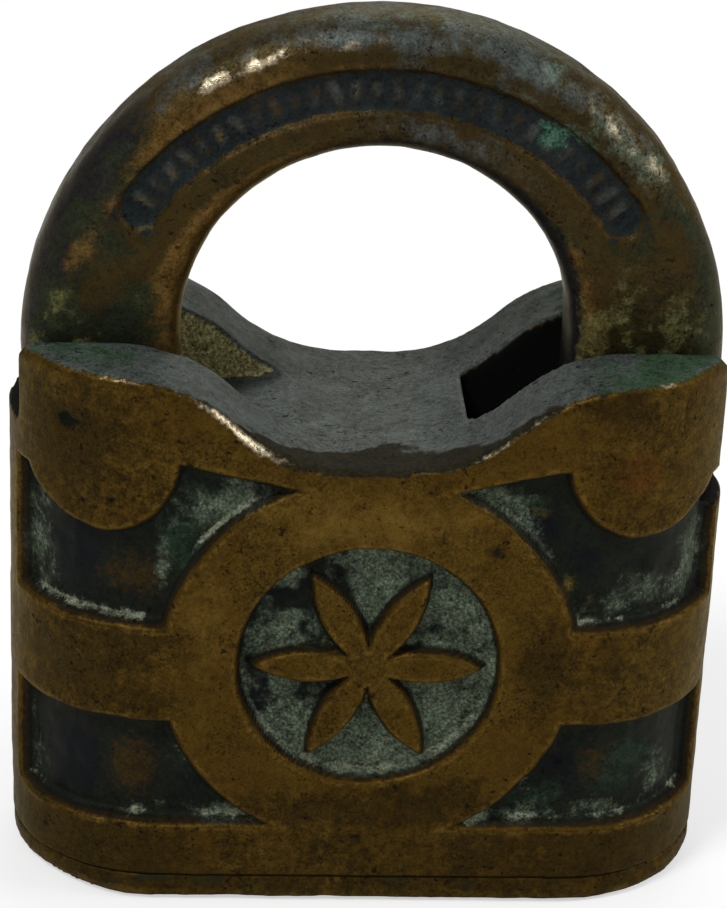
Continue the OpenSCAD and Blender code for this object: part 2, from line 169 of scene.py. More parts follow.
def patched(points: Array, spots: Sequence[Sequence[float]]) -> Array:
    """Adds up soft patches; the back face carries them the other way round.

    Args:
        points: Points in millimetres.
        spots: Middle across and up, reach across and up, and strength of each patch.

    Returns:
        The sum at each point.
    """
    total = np.zeros(len(points))
    x = np.where(points[:, 1] > 0, -points[:, 0], points[:, 0])
    for across, up, wide, high, share in spots:
        reach = np.square((x - across) / wide) + np.square((points[:, 2] - up) / high)
        total += share * np.exp(-reach)
    return total


# ------------------------------------------------------------------ mesh tools


class MeshTools:
    """Steps that several castings share, on meshes in metres."""

    @staticmethod
    def link(name: str, bm: bmesh.types.BMesh) -> bpy.types.Object:
        """Puts a bmesh in the scene as an object at the origin, and frees it.

        Args:
            name: Name of the object and its mesh.
            bm: The bmesh, in metres.

        Returns:
            The object.
        """
        mesh = bpy.data.meshes.new(name)
        bm.to_mesh(mesh)
        bm.free()
        thing = bpy.data.objects.new(name, mesh)
        bpy.context.scene.collection.objects.link(thing)
        return thing

    @staticmethod
    def to_object(name: str, bm: bmesh.types.BMesh) -> bpy.types.Object:
        """Turns a bmesh in millimetres into an object.

        Args:
            name: Name of the object and its mesh.
            bm: The bmesh, in millimetres, which is freed.

        Returns:
            The object, in metres.
        """
        bmesh.ops.scale(bm, vec=(MM, MM, MM), verts=bm.verts)
        bmesh.ops.recalc_face_normals(bm, faces=bm.faces)
        return MeshTools.link(name, bm)

    @staticmethod
    def block(name: str, low: Sequence[float], high: Sequence[float]) -> bpy.types.Object:
        """A box between two corners.

        Args:
            name: Name of the object.
            low: Lowest corner, in millimetres.
            high: Highest corner, in millimetres.

        Returns:
            The box.
        """
        bm = bmesh.new()
        bmesh.ops.create_cube(bm, size=1.0)
        size = [b - a for a, b in zip(low, high)]
        middle = [(a + b) / 2 for a, b in zip(low, high)]
        bmesh.ops.scale(bm, vec=size, verts=bm.verts)
        bmesh.ops.translate(bm, vec=middle, verts=bm.verts)
        return MeshTools.to_object(name, bm)

    @staticmethod
    def rod(name: str, radius: float, start: Sequence[float], end: Sequence[float],
            chamfer: float = 0.0, segments: int = 48) -> bpy.types.Object:
        """A round bar between two points.

        Args:
            name: Name of the object.
            radius: Its radius, in millimetres.
            start: One end's centre.
            end: The other end's centre.
            chamfer: Rounding of the two end edges.
            segments: Sides round the bar.

        Returns:
            The bar.
        """
        bm = bmesh.new()
        a, b = Vector(start), Vector(end)
        run = b - a
        bmesh.ops.create_cone(bm, cap_ends=True, segments=segments, radius1=radius, radius2=radius,
                              depth=run.length)
        if chamfer > 0.0:
            rims = [e for e in bm.edges if abs(e.verts[0].co.z - e.verts[1].co.z) < 1e-6]
            bmesh.ops.bevel(bm, geom=rims, offset=chamfer, offset_type="OFFSET", segments=3, profile=0.5,
                            affect="EDGES", material=-1)
        turn = run.to_track_quat("Z", "Y").to_matrix().to_4x4()
        bmesh.ops.transform(bm, matrix=Matrix.Translation((a + b) / 2) @ turn, verts=bm.verts)
        return MeshTools.to_object(name, bm)

    @staticmethod
    def settle(thing: bpy.types.Object) -> None:
        """Applies the live modifiers of an object to its mesh.

        Args:
            thing: The object.
        """
        bpy.context.view_layer.update()
        graph = bpy.context.evaluated_depsgraph_get()
        made = bpy.data.meshes.new_from_object(thing.evaluated_get(graph))
        old = thing.data
        thing.modifiers.clear()
        thing.data = made
        bpy.data.meshes.remove(old)

    @staticmethod
    def carve(body: bpy.types.Object, cutters: Sequence[bpy.types.Object]) -> None:
        """Cuts each cutter out of a body and deletes the cutters.

        Args:
            body: What is cut.
            cutters: Closed shapes to take away.
        """
        for cutter in cutters:
            step = body.modifiers.new(cutter.name, "BOOLEAN")
            step.operation = "DIFFERENCE"
            step.solver = "EXACT"
            step.object = cutter
        MeshTools.settle(body)
        for cutter in cutters:
            bpy.data.objects.remove(cutter)

    @staticmethod
    def even(thing: bpy.types.Object, cell: float) -> None:
        """Gives an object an even skin of small quads.

        Args:
            thing: The object.
            cell: Size of a quad, in millimetres.
        """
        step = thing.modifiers.new("even", "REMESH")
        step.mode = "VOXEL"
        step.voxel_size = cell * MM
        step.adaptivity = 0.0
        MeshTools.settle(thing)

    @staticmethod
    def copy_node(name: str, node: bpy.types.Object) -> bpy.types.Object:
        """Copies a node of the frame with its loose triangles joined.

        Args:
            name: Name of the copy.
            node: The node, which is left as it is.

        Returns:
            The copy.
        """
        bm = bmesh.new()
        bm.from_mesh(node.data)
        bmesh.ops.remove_doubles(bm, verts=bm.verts, dist=WELD * MM)
        return MeshTools.link(name, bm)

    @staticmethod
    def read(items: bpy.types.bpy_prop_collection, name: str, width: int, kind: type = float) -> Array:
        """Reads one property of every item.

        Args:
            items: Vertices or edges of a mesh.
            name: The property.
            width: How many numbers it has.
            kind: Their type.

        Returns:
            One row an item.
        """
        flat = np.empty(len(items) * width, dtype=kind)
        items.foreach_get(name, flat)
        return flat.reshape(-1, width)

    @staticmethod
    def points(mesh: bpy.types.Mesh) -> Array:
        """The vertices of a mesh, in millimetres."""
        return MeshTools.read(mesh.vertices, "co", 3) / MM

    @staticmethod
    def move(mesh: bpy.types.Mesh, points: Array) -> None:
        """Puts the vertices of a mesh at new points, in millimetres."""
        mesh.vertices.foreach_set("co", (points * MM).ravel())
        mesh.update()

    @staticmethod
    def normals(mesh: bpy.types.Mesh) -> Array:
        """The outward direction at each vertex."""
        return MeshTools.read(mesh.vertices, "normal", 3)

    @staticmethod
    def pairs(mesh: bpy.types.Mesh) -> Array:
        """The two vertices of each edge."""
        return MeshTools.read(mesh.edges, "vertices", 2, np.int32)

    @staticmethod
    def spread(pairs: Array, values: Array, rounds: int) -> Array:
        """Averages values over neighbouring vertices.

        Args:
            pairs: The edges.
            values: One value or row a vertex.
            rounds: How many times.

        Returns:
            The averaged values.
        """
        count = np.bincount(pairs.ravel(), minlength=len(values)).astype(float)
        count[count == 0] = 1.0
        out = values.astype(float)
        for _ in range(rounds):
            columns = out.reshape(len(out), -1)
            summed = np.empty_like(columns)
            for c in range(columns.shape[1]):
                near = np.bincount(pairs[:, 0], weights=columns[pairs[:, 1], c], minlength=len(out))
                near += np.bincount(pairs[:, 1], weights=columns[pairs[:, 0], c], minlength=len(out))
                summed[:, c] = near / count
            out = (0.5 * columns + 0.5 * summed).reshape(out.shape)
        return out

    @staticmethod
    def convexity(mesh: bpy.types.Mesh, rounds: int) -> Array:
        """How far each vertex stands out from its surroundings, in millimetres.

        Args:
            mesh: The mesh.
            rounds: How wide the surroundings are.

        Returns:
            Positive on edges, negative in corners.
        """
        where = MeshTools.points(mesh)
        even = MeshTools.spread(MeshTools.pairs(mesh), where, rounds)
        return np.einsum("ij,ij->i", where - even, MeshTools.normals(mesh))

    @staticmethod
    def paint(mesh: bpy.types.Mesh, masks: Masks) -> None:
        """Stores masks on the vertices, for the finishes to read.

        Args:
            mesh: The mesh.
            masks: Name and one value a vertex, 0 to 1.
        """
        for name, values in masks.items():
            layer = mesh.attributes.new(name, "FLOAT", "POINT")
            layer.data.foreach_set("value", np.clip(values, 0.0, 1.0).astype(np.float32))

    @staticmethod
    def finish(thing: bpy.types.Object, material: bpy.types.Material, body: str, slot: str,
               *nodes: str) -> None:
        """Gives a piece its material and its place in the frame.

        Args:
            thing: The piece.
            material: Its finish.
            body: The body that it rides on.
            slot: Not used.
            *nodes: The nodes that it stands for.
        """
        thing.data.materials.clear()
        thing.data.materials.append(material)
        thing.data.polygons.foreach_set("use_smooth", [True] * len(thing.data.polygons))
        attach(thing, body)
        if nodes:
            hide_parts(*nodes)
        log.info("%s: %d faces on %s", thing.name, len(thing.data.polygons), body)


# ------------------------------------------------------------------ shader tools


NUMBER = "NodeSocketFloat"
SKIN_OUTS = ("Mottle", "Cloud", "Specks", "Pits", "Height")


class Graph:
    """A shader tree with short calls for the nodes that the finishes use."""

    def __init__(self, tree: bpy.types.NodeTree) -> None:
        """Starts on a tree.

        Args:
            tree: The tree of a material or of a node group.
        """
        self.tree = tree
        self.count = 0

    def add(self, kind: str, **settings: object) -> bpy.types.Node:
        """Adds a node and sets its properties.

        Args:
            kind: The node's type.
            **settings: Its properties.

        Returns:
            The node.
        """
        node = self.tree.nodes.new(kind)
        node.location = (self.count % 12 * 180, -(self.count // 12) * 260)
        self.count += 1
        for key, value in settings.items():
            setattr(node, key, value)
        return node

    def feed(self, socket: bpy.types.NodeSocket, value: object) -> None:
        """Links a socket, or sets its number or colour.

        Args:
            socket: The input.
            value: An output socket, a number or a colour.
        """
        if isinstance(value, bpy.types.NodeSocket):
            self.tree.links.new(value, socket)
        else:
            socket.default_value = value

    def math(self, kind: str, a: object, b: object = 0.0, clamp: bool = False) -> bpy.types.NodeSocket:
        """A sum on one or two values.

        Args:
            kind: The operation.
            a: First value.
            b: Second value.
            clamp: Whether the result is held between 0 and 1.

        Returns:
            The result.
        """
        node = self.add("ShaderNodeMath", operation=kind, use_clamp=clamp)
        self.feed(node.inputs[0], a)
        self.feed(node.inputs[1], b)
        return node.outputs[0]

    def mix(self, kind: str, first: int, share: object, a: object, b: object) -> bpy.types.Node:
        """Adds a mix of two values.

        Args:
            kind: The type of the values.
            first: Place of their first socket.
            share: 0 for the first value, 1 for the second.
            a: First value.
            b: Second value.

        Returns:
            The node.
        """
        node = self.add("ShaderNodeMix", data_type=kind, clamp_factor=True)
        for place, value in ((0, share), (first, a), (first + 1, b)):
            self.feed(node.inputs[place], value)
        return node

    def blend(self, share: object, a: object, b: object) -> bpy.types.NodeSocket:
        """Mixes two colours.

        Args:
            share: 0 for the first, 1 for the second.
            a: First colour.
            b: Second colour.

        Returns:
            The mixed colour.
        """
        return self.mix("RGBA", 6, share, a, b).outputs[2]

    def level(self, share: object, a: object, b: object) -> bpy.types.NodeSocket:
        """Mixes two numbers.

        Args:
            share: 0 for the first, 1 for the second.
            a: First number.
            b: Second number.

        Returns:
            The mixed number.
        """
        return self.mix("FLOAT", 2, share, a, b).outputs[0]

    def window(self, value: object, low: float, high: float) -> bpy.types.NodeSocket:
        """Stretches a value so that low becomes 0 and high becomes 1, with soft ends.

        Args:
            value: The value.
            low: What becomes 0.
            high: What becomes 1.

        Returns:
            The stretched value.
        """
        node = self.add("ShaderNodeMapRange", interpolation_type="SMOOTHSTEP", clamp=True)
        self.feed(node.inputs[0], value)
        self.set(node, From_Min=low, From_Max=high)
        return node.outputs[0]

    def noise(self, where: object, scale: float, detail: float = 4.0, rough: float = 0.6,
              twist: float = 0.0) -> bpy.types.NodeSocket:
        """Cloudy noise.

        Args:
            where: The coordinate, in metres.
            scale: Lumps a metre.
            detail: How many finer sizes.
            rough: How strong the finer sizes are.
            twist: How far the pattern folds.

        Returns:
            The noise, 0 to 1.
        """
        node = self.add("ShaderNodeTexNoise", noise_dimensions="3D")
        self.feed(node.inputs["Vector"], where)
        self.set(node, Scale=scale, Detail=detail, Roughness=rough, Distortion=twist)
        return node.outputs["Fac"]

    def mask(self, name: str) -> bpy.types.NodeSocket:
        """Reads a mask stored on the mesh."""
        return self.add("ShaderNodeAttribute", attribute_name=name).outputs["Fac"]

    def set(self, node: bpy.types.Node, **values: object) -> None:
        """Sets constant numbers and colours on a node's own inputs.

        Args:
            node: The node.
            **values: Each input's name, with _ for a space, and its value.
        """
        for name, value in values.items():
            node.inputs[name.replace("_", " ")].default_value = value

    def scaled(self, size: bpy.types.NodeSocket) -> bpy.types.NodeSocket:
        """The object's own coordinate, scaled.

        Args:
            size: The scale.

        Returns:
            The coordinate.
        """
        where = self.add("ShaderNodeTexCoord").outputs["Object"]
        node = self.add("ShaderNodeVectorMath", operation="SCALE")
        self.feed(node.inputs[0], where)
        self.feed(node.inputs["Scale"], size)
        return node.outputs[0]

    def end(self, kind: str, surface: bpy.types.NodeSocket) -> None:
        """Ends a tree.

        Args:
            kind: The type of its output node.
            surface: What the output shows.
        """
        self.feed(self.add(kind).inputs["Surface"], surface)

    def surface(self, height: object, strength: float, relief: float, **sockets: object) -> bpy.types.Node:
        """Ends a material in one shader with a bump.

        Args:
            height: The bump's height.
            strength: How strong the bump is.
            relief: How deep it is, in metres.
            **sockets: Each other input of the shader, with _ for a space.

        Returns:
            The shader.
        """
        lift = self.add("ShaderNodeBump")
        self.set(lift, Strength=strength, Distance=relief)
        self.feed(lift.inputs["Height"], height)
        shader = self.add("ShaderNodeBsdfPrincipled")
        for name, value in sockets.items():
            self.feed(shader.inputs[name.replace("_", " ")], value)
        self.feed(shader.inputs["Normal"], lift.outputs["Normal"])
        self.end("ShaderNodeOutputMaterial", shader.outputs[0])
        return shader

    @staticmethod
    def material(name: str) -> Tuple[bpy.types.Material, "Graph"]:
        """Starts an empty material.

        Args:
            name: Its name.

        Returns:
            The material and the graph of its tree.
        """
        made = bpy.data.materials.new(name)
        made.use_nodes = True
        made.node_tree.nodes.clear()
        return made, Graph(made.node_tree)


class Groups:
    """Shared effects as node groups, each built once."""

    def __init__(self) -> None:
        """Starts with no group built."""
        self.made: Dict[str, bpy.types.NodeTree] = {}

    def open(self, name: str, ins: Sequence[Tuple[str, str, float]],
             outs: Sequence[Tuple[str, str]]) -> Tuple[Graph, bpy.types.Node, bpy.types.Node]:
        """Starts a group with named sockets.

        Args:
            name: The group's name.
            ins: Name, socket type and default of each input.
            outs: Name and socket type of each output.

        Returns:
            The graph, its input node and its output node.
        """
        tree = bpy.data.node_groups.new(name, "ShaderNodeTree")
        for label, kind, value in ins:
            socket = tree.interface.new_socket(label, in_out="INPUT", socket_type=kind)
            socket.default_value = value
        for label, kind in outs:
            tree.interface.new_socket(label, in_out="OUTPUT", socket_type=kind)
        self.made[name] = tree
        graph = Graph(tree)
        return graph, graph.add("NodeGroupInput"), graph.add("NodeGroupOutput")

    def cast_skin(self) -> bpy.types.NodeTree:
        """The skin of an old casting: mottle, specks, pits and fine grain.

        Returns:
            The group, with Size and Pitting in, and Mottle, Cloud, Specks, Pits and Height out.
        """
        if "cast_skin" in self.made:
            return self.made["cast_skin"]
        graph, start, end = self.open(
            "cast_skin", [("Size", NUMBER, 1.0), ("Pitting", NUMBER, 0.5)],
            [(n, NUMBER) for n in SKIN_OUTS])
        spot = graph.scaled(start.outputs["Size"])
        broad = graph.window(graph.noise(spot, 430.0, 6.0, 0.66, 0.5), 0.34, 0.66)
        close = graph.window(graph.noise(spot, 1700.0, 5.0, 0.72), 0.36, 0.64)
        tight = graph.window(graph.noise(spot, 4300.0, 2.0, 0.6), 0.36, 0.64)
        mottle = graph.level(0.36, graph.level(0.5, broad, close), tight)
        cloud = graph.window(graph.noise(spot, 120.0, 6.0, 0.64, 0.9), 0.38, 0.62)
        patch = graph.window(graph.noise(spot, 240.0, 4.0, 0.6), 0.44, 0.62)
        dots = graph.window(graph.noise(spot, 2100.0, 3.0, 0.66), 0.585, 0.65)
        specks = graph.math("MULTIPLY", dots, graph.math("ADD", 0.25, patch, clamp=True))
        fine = graph.noise(spot, 5200.0, 3.0, 0.75)
        holes = graph.noise(spot, 1350.0, 3.0, 0.62, 0.3)
        edge = graph.math("SUBTRACT", 0.76, graph.math("MULTIPLY", start.outputs["Pitting"], 0.14))
        over = graph.math("SUBTRACT", graph.math("ADD", holes, graph.math("MULTIPLY", patch, 0.05)), edge)
        pits = graph.math("MULTIPLY", over, 26.0, clamp=True)
        swell = graph.math("MULTIPLY", graph.noise(spot, 900.0, 6.0, 0.68), 0.6)
        height = graph.math("ADD", swell, graph.math("MULTIPLY", fine, 0.38))
        height = graph.math("SUBTRACT", height, graph.math("MULTIPLY", pits, 0.7))
        height = graph.math("SUBTRACT", height, graph.math("MULTIPLY", specks, 0.18))
        for label, value in zip(SKIN_OUTS, (mottle, cloud, specks, pits, height)):
            graph.feed(end.inputs[label], value)
        return self.made["cast_skin"]

    def crumble(self) -> bpy.types.NodeTree:
        """Breaks the border of a stored mask so that it looks like a deposit.

        Returns:
            The group, with Mask, Break, Size and Grit in, and Mask out.
        """
        if "crumble" in self.made:
            return self.made["crumble"]
        graph, start, end = self.open(
            "crumble", [("Mask", NUMBER, 0.0), ("Break", NUMBER, 0.5), ("Size", NUMBER, 1.0),
                        ("Grit", NUMBER, 0.0)], [("Mask", NUMBER)])
        spot = graph.scaled(start.outputs["Size"])
        lumps = graph.noise(spot, 900.0, 7.0, 0.74, 0.3)
        push = graph.math("MULTIPLY", graph.math("SUBTRACT", lumps, 0.5), start.outputs["Break"])
        pushed = graph.math("ADD", start.outputs["Mask"], graph.math("MULTIPLY", push, 3.2))
        inside = graph.window(pushed, 0.22, 0.82)
        present = graph.window(start.outputs["Mask"], 0.0, 0.25)
        grains = graph.window(graph.noise(spot, 3300.0, 3.0, 0.7), 0.42, 0.60)
        loss = graph.math("MULTIPLY", start.outputs["Grit"], graph.math("SUBTRACT", 1.0, grains))
        kept = graph.math("SUBTRACT", 1.0, loss)
        solid = graph.math("MULTIPLY", graph.math("MULTIPLY", inside, present), kept)
        graph.feed(end.inputs["Mask"], solid)
        return self.made["crumble"]


@dataclass(frozen=True)
class Layer:
    """One layer over the metal: a deposit, a stain, a rubbed place, painted shade or a painted highlight.
    """

    mask: str
    colour: Rgba
    tint: Rgba
    rough: float
    metal: float
    broken: float = 0.5
    lumps: float = 1.0
    strength: float = 1.0
    grit: float = 0.0


@dataclass(frozen=True)
class CastFinish:
    """An old bronze casting: brown metal with deposits, painted shade and painted highlights over it."""

    name: str
    light: Rgba
    dark: Rgba
    warm: Rgba
    layers: Tuple[Layer, ...]
    pitting: float = 0.5
    rough: float = 0.42
    metal: float = 0.85
    relief: float = 0.00010
    gloss: float = 0.07
    gloss_tint: Rgba = (0.80, 0.72, 0.52, 1.0)

    def build(self, groups: Groups) -> bpy.types.Material:
        """Makes the material.

        Args:
            groups: The shared effects.

        Returns:
            The material.
        """
        material, graph = Graph.material(self.name)
        skin = graph.add("ShaderNodeGroup", node_tree=groups.cast_skin())
        graph.set(skin, Size=1.0, Pitting=self.pitting)
        out = skin.outputs
        colour = graph.blend(out["Mottle"], self.dark, self.light)
        colour = graph.blend(graph.math("MULTIPLY", out["Cloud"], 0.55), colour, self.warm)
        rough: object = graph.level(out["Mottle"], self.rough + 0.12, self.rough - 0.06)
        metal: object = graph.level(out["Mottle"], self.metal * 0.7, self.metal)
        for layer in self.layers:
            torn = graph.add("ShaderNodeGroup", node_tree=groups.crumble())
            graph.set(torn, Break=layer.broken, Size=layer.lumps, Grit=layer.grit)
            graph.feed(torn.inputs["Mask"], graph.mask(layer.mask))
            share = graph.math("MULTIPLY", torn.outputs[0], layer.strength)
            shade = graph.blend(out["Mottle"], layer.tint, layer.colour)
            colour = graph.blend(share, colour, shade)
            rough = graph.level(share, rough, layer.rough)
            metal = graph.level(share, metal, layer.metal)
        speck = graph.math("MULTIPLY", out["Specks"], 0.72)
        colour = graph.blend(speck, colour, SPECK)
        colour = graph.blend(graph.math("MULTIPLY", out["Pits"], 0.85), colour, PIT)
        rough = graph.level(out["Pits"], rough, 0.85)
        metal = graph.level(out["Pits"], metal, 0.0)
        shader = graph.surface(out["Height"], 0.85, self.relief, Base_Color=colour, Roughness=rough,
                               Metallic=metal)
        graph.set(shader, Specular_IOR_Level=self.gloss, Specular_Tint=self.gloss_tint)
        return material


class Works(Enum):
    """Finishes of the machined pieces."""

    BRASS = "brass"
    PLUG = "plug"
    RIVET = "rivet"
    PINS = "pins"
    SPRING = "spring"
    STEEL = "steel"
    PIN = "pin"


@dataclass(frozen=True)
class WorkFinish:
    """A machined metal with light tarnish, stains and tool marks."""

    name: str
    clean: Rgba
    stain: Rgba
    rough: float
    metal: float
    marks: Tuple[float, float, float] = (1.0, 1.0, 6.0)
    relief: float = 0.00002

    def build(self, groups: Groups) -> bpy.types.Material:
        """Makes the material.

        Args:
            groups: The shared effects.

        Returns:
            The material.
        """
        material, graph = Graph.material(self.name)
        skin = graph.add("ShaderNodeGroup", node_tree=groups.cast_skin())
        graph.set(skin, Size=1.6, Pitting=0.2)
        out = skin.outputs
        where = graph.add("ShaderNodeTexCoord").outputs["Object"]
        stretch = graph.add("ShaderNodeMapping")
        graph.feed(stretch.inputs["Vector"], where)
        graph.set(stretch, Scale=self.marks)
        lines = graph.noise(stretch.outputs[0], 2600.0, 3.0, 0.6)
        share = graph.math("MULTIPLY", graph.math("ADD", out["Cloud"], out["Mottle"]), 0.42)
        colour = graph.blend(share, self.clean, self.stain)
        colour = graph.blend(out["Pits"], colour, WORK_PIT)
        graph.surface(graph.math("ADD", lines, out["Height"]), 0.5, self.relief, Base_Color=colour,
                      Roughness=graph.level(share, self.rough, self.rough + 0.22),
                      Metallic=graph.level(share, self.metal, self.metal * 0.6))
        return material


# ------------------------------------------------------------------ colours

BROWN = linear(88, 67, 23)
BROWN_DARK = linear(26, 19, 5)
BROWN_WARM = linear(68, 48, 13)
GOLD = linear(104, 82, 36)
SLATE = linear(86, 94, 92)
SLATE_DARK = linear(33, 37, 35)
# Near-black: the plate's seam and the dents, and painted shade in the slots, the chambers and on the
# relief's walls
SOOT_AND_SHADE = linear(13, 14, 12)
DEEP_GREEN = linear(26, 30, 21)
DEEP_BLUE = linear(9, 13, 15)
INK = linear(9, 13, 24)
RUBBED = linear(64, 47, 17)
PALE = linear(120, 133, 110)
PALE_DARK = linear(38, 47, 37)
CHALK = linear(156, 160, 136)
MOSS = linear(42, 71, 43)
MOSS_DARK = linear(22, 34, 22)
OCHRE = linear(122, 120, 70)
OCHRE_DARK = linear(40, 38, 20)
TEAL = linear(80, 124, 110)
# Pale colour of the painted highlights on the saddle's edge and the shackle's ridge
PAINTED_HIGHLIGHT = linear(198, 188, 164)
RED_BROWN = linear(78, 42, 14)
CRUD = linear(42, 39, 27)
CRUD_DARK = linear(13, 12, 8)
SPECK = linear(17, 13, 6)
PIT = linear(9, 9, 7)
WORK_PIT = linear(24, 20, 12)
# Stains, which on the case and the base plate also carry painted shade towards the bottom
STAIN_AND_SHADE = Layer("stain", linear(50, 38, 12), linear(22, 16, 5), 0.5, 0.6, 0.7, 1.1, 0.8)


# ------------------------------------------------------------------ the case

# Lowest and highest corner of each slot and chamber, in millimetres
CASE_CUTS = {
    "heel_slot": ((7.6, -4.8, 33.07), (31.0, 4.8, 50.0)),
    "toe_slot": ((-24.38, -4.8, 26.24), (-14.85, 4.8, 50.0)),
    "toe_shelf": ((-31.0, -4.8, 39.64), (-24.3, 4.8, 50.0)),
    "chamber": ((-18.0, -8.4, 1.0), (18.0, 8.4, 24.54)),
    "loft": ((-9.3, -7.2, 24.0), (11.0, 7.2, 29.09)),
    "bolt_way": ((-11.62, -4.05, 29.0), (4.61, 4.05, 33.24)),
    "nose_way": ((-15.4, -3.15, 29.0), (0.0, 3.15, 33.24)),
}

# Name, radius and the two ends of each bore
CASE_BORES = (
    ("pin_bore", 2.64, (21.55, -8.9, 39.74), (21.55, 8.9, 39.74)),
    ("rivet_bore", 1.66, (-22.55, 0, 1.0), (-22.55, 0, 10.8)),
    ("screw_bore", 0.96, (8.0, -4.0, 28.0), (8.0, -4.0, 32.1)),
    ("rivet_bore", 1.66, (22.55, 0, 1.0), (22.55, 0, 10.8)),
    ("screw_bore", 0.96, (8.0, 4.0, 28.0), (8.0, 4.0, 32.1)),
)

# Across, up, size and depth of each dent in the front, in millimetres
DENTS: Tuple[Tuple[float, float, float, float], ...] = (
    (-24.3, 41.8, 0.75, 0.5), (-23.2, 42.0, 0.45, 0.35), (-21.0, 42.1, 0.35, 0.25),
    (-20.4, 42.0, 0.3, 0.2), (9.6, 32.3, 0.8, 0.25), (-0.4, 6.1, 0.6, 0.3), (-17.5, 45.1, 0.35, 0.25),
    (-22.8, 35.6, 0.45, 0.3), (-20.5, 35.9, 0.4, 0.3), (-18.6, 36.3, 0.4, 0.25), (-21.6, 35.0, 0.3, 0.2),
    (12.8, 11.0, 0.4, 0.2), (-3.6, 5.2, 0.4, 0.2), (22.4, 20.3, 0.5, 0.2), (-12.2, 20.8, 0.4, 0.2),
    (4.6, 34.2, 0.4, 0.2), (-9.8, 30.4, 0.35, 0.2), (13.9, 26.0, 0.35, 0.2), (-4.4, 8.2, 0.45, 0.25),
    (6.9, 7.9, 0.35, 0.2))

# Soft patches of each mask on the front: middle across and up, reach across and up, strength
PATCHES: Dict[str, Tuple[Tuple[float, ...], ...]] = {
    "haze_and_highlight": (
        (-9.5, 36.3, 3.6, 1.6, 1.0), (-13.5, 34.9, 2.6, 1.4, 0.45), (-16.4, 30.4, 1.2, 3.0, 0.5),
        (-27.0, 30.0, 1.3, 6.0, 0.75), (7.5, 36.0, 3.6, 1.9, 1.35), (10.2, 34.0, 2.4, 2.0, 1.05),
        (13.2, 31.3, 1.2, 2.4, 0.55), (22.6, 27.8, 4.2, 2.0, 0.5), (27.0, 30.0, 1.5, 6.0, 0.75),
        (18.0, 26.4, 3.6, 1.1, 0.6), (-10.5, 7.6, 3.6, 1.1, 1.0), (-15.5, 8.2, 3.0, 0.9, 0.6),
        (-27.2, 11.5, 1.0, 5.0, 0.5), (10.2, 7.5, 3.6, 1.1, 1.1), (25.4, 10.2, 1.8, 3.2, 0.75),
        (19.5, 8.2, 5.0, 1.0, 0.6), (14.0, 9.6, 2.0, 1.6, 0.4)),
    "blue": (
        (-24.0, 30.5, 2.6, 4.2, 0.9), (-24.5, 11.5, 3.0, 4.4, 0.9), (-20.0, 33.4, 3.2, 1.4, 0.6),
        (13.5, 33.8, 1.9, 1.6, 0.9), (17.0, 31.0, 1.6, 2.6, 0.7), (16.0, 12.5, 2.6, 2.6, 0.75),
        (-14.0, 10.5, 2.0, 2.6, 0.5)),
    "rub": (
        (-18.9, 29.0, 3.0, 2.3, 0.75), (-18.8, 12.0, 2.2, 2.8, 1.0), (19.3, 12.6, 2.0, 2.0, 0.7),
        (-13.2, 33.6, 1.6, 1.2, 0.4)),
    "green": (
        (-14.9, 31.5, 1.5, 2.5, 0.85), (-12.0, 36.2, 2.0, 1.2, 0.4), (12.2, 35.9, 2.6, 1.0, 0.6),
        (15.0, 26.8, 1.6, 1.6, 0.45), (22.0, 12.5, 3.2, 2.6, 0.7), (-14.5, 13.6, 1.6, 3.0, 0.55),
        (14.0, 9.2, 3.0, 2.2, 0.55)),
    "ochre": (
        (15.4, 29.0, 0.8, 0.9, 0.9), (13.0, 35.2, 1.3, 0.5, 0.6), (17.4, 27.5, 0.6, 0.6, 0.6)),
    "gold": (
        # The first patch, over the ring's top, is painted light: the top of the case lighter than the
        # bottom
        (0.0, 34.6, 11.0, 2.6, 0.75), (-12.8, 25.0, 2.4, 8.0, 0.55), (-20.8, 40.0, 3.4, 2.4, 0.3),
        (20.0, 21.0, 4.0, 2.0, 0.35)),
    "stain": (
        (9.6, 32.3, 1.1, 0.9, 1.0), (-23.4, 42.0, 2.0, 0.6, 0.8), (-20.6, 42.1, 1.4, 0.4, 0.7),
        (0.0, 9.0, 10.0, 1.6, 0.45), (17.5, 44.6, 3.0, 1.0, 0.5), (-19.5, 24.4, 5.0, 0.9, 0.6),
        (13.6, 22.0, 2.4, 6.0, 0.7), (-23.0, 20.8, 4.4, 2.4, 0.5), (-23.6, 40.0, 3.4, 4.0, 0.45),
        (-16.0, 18.6, 4.0, 0.9, 0.5)),
}


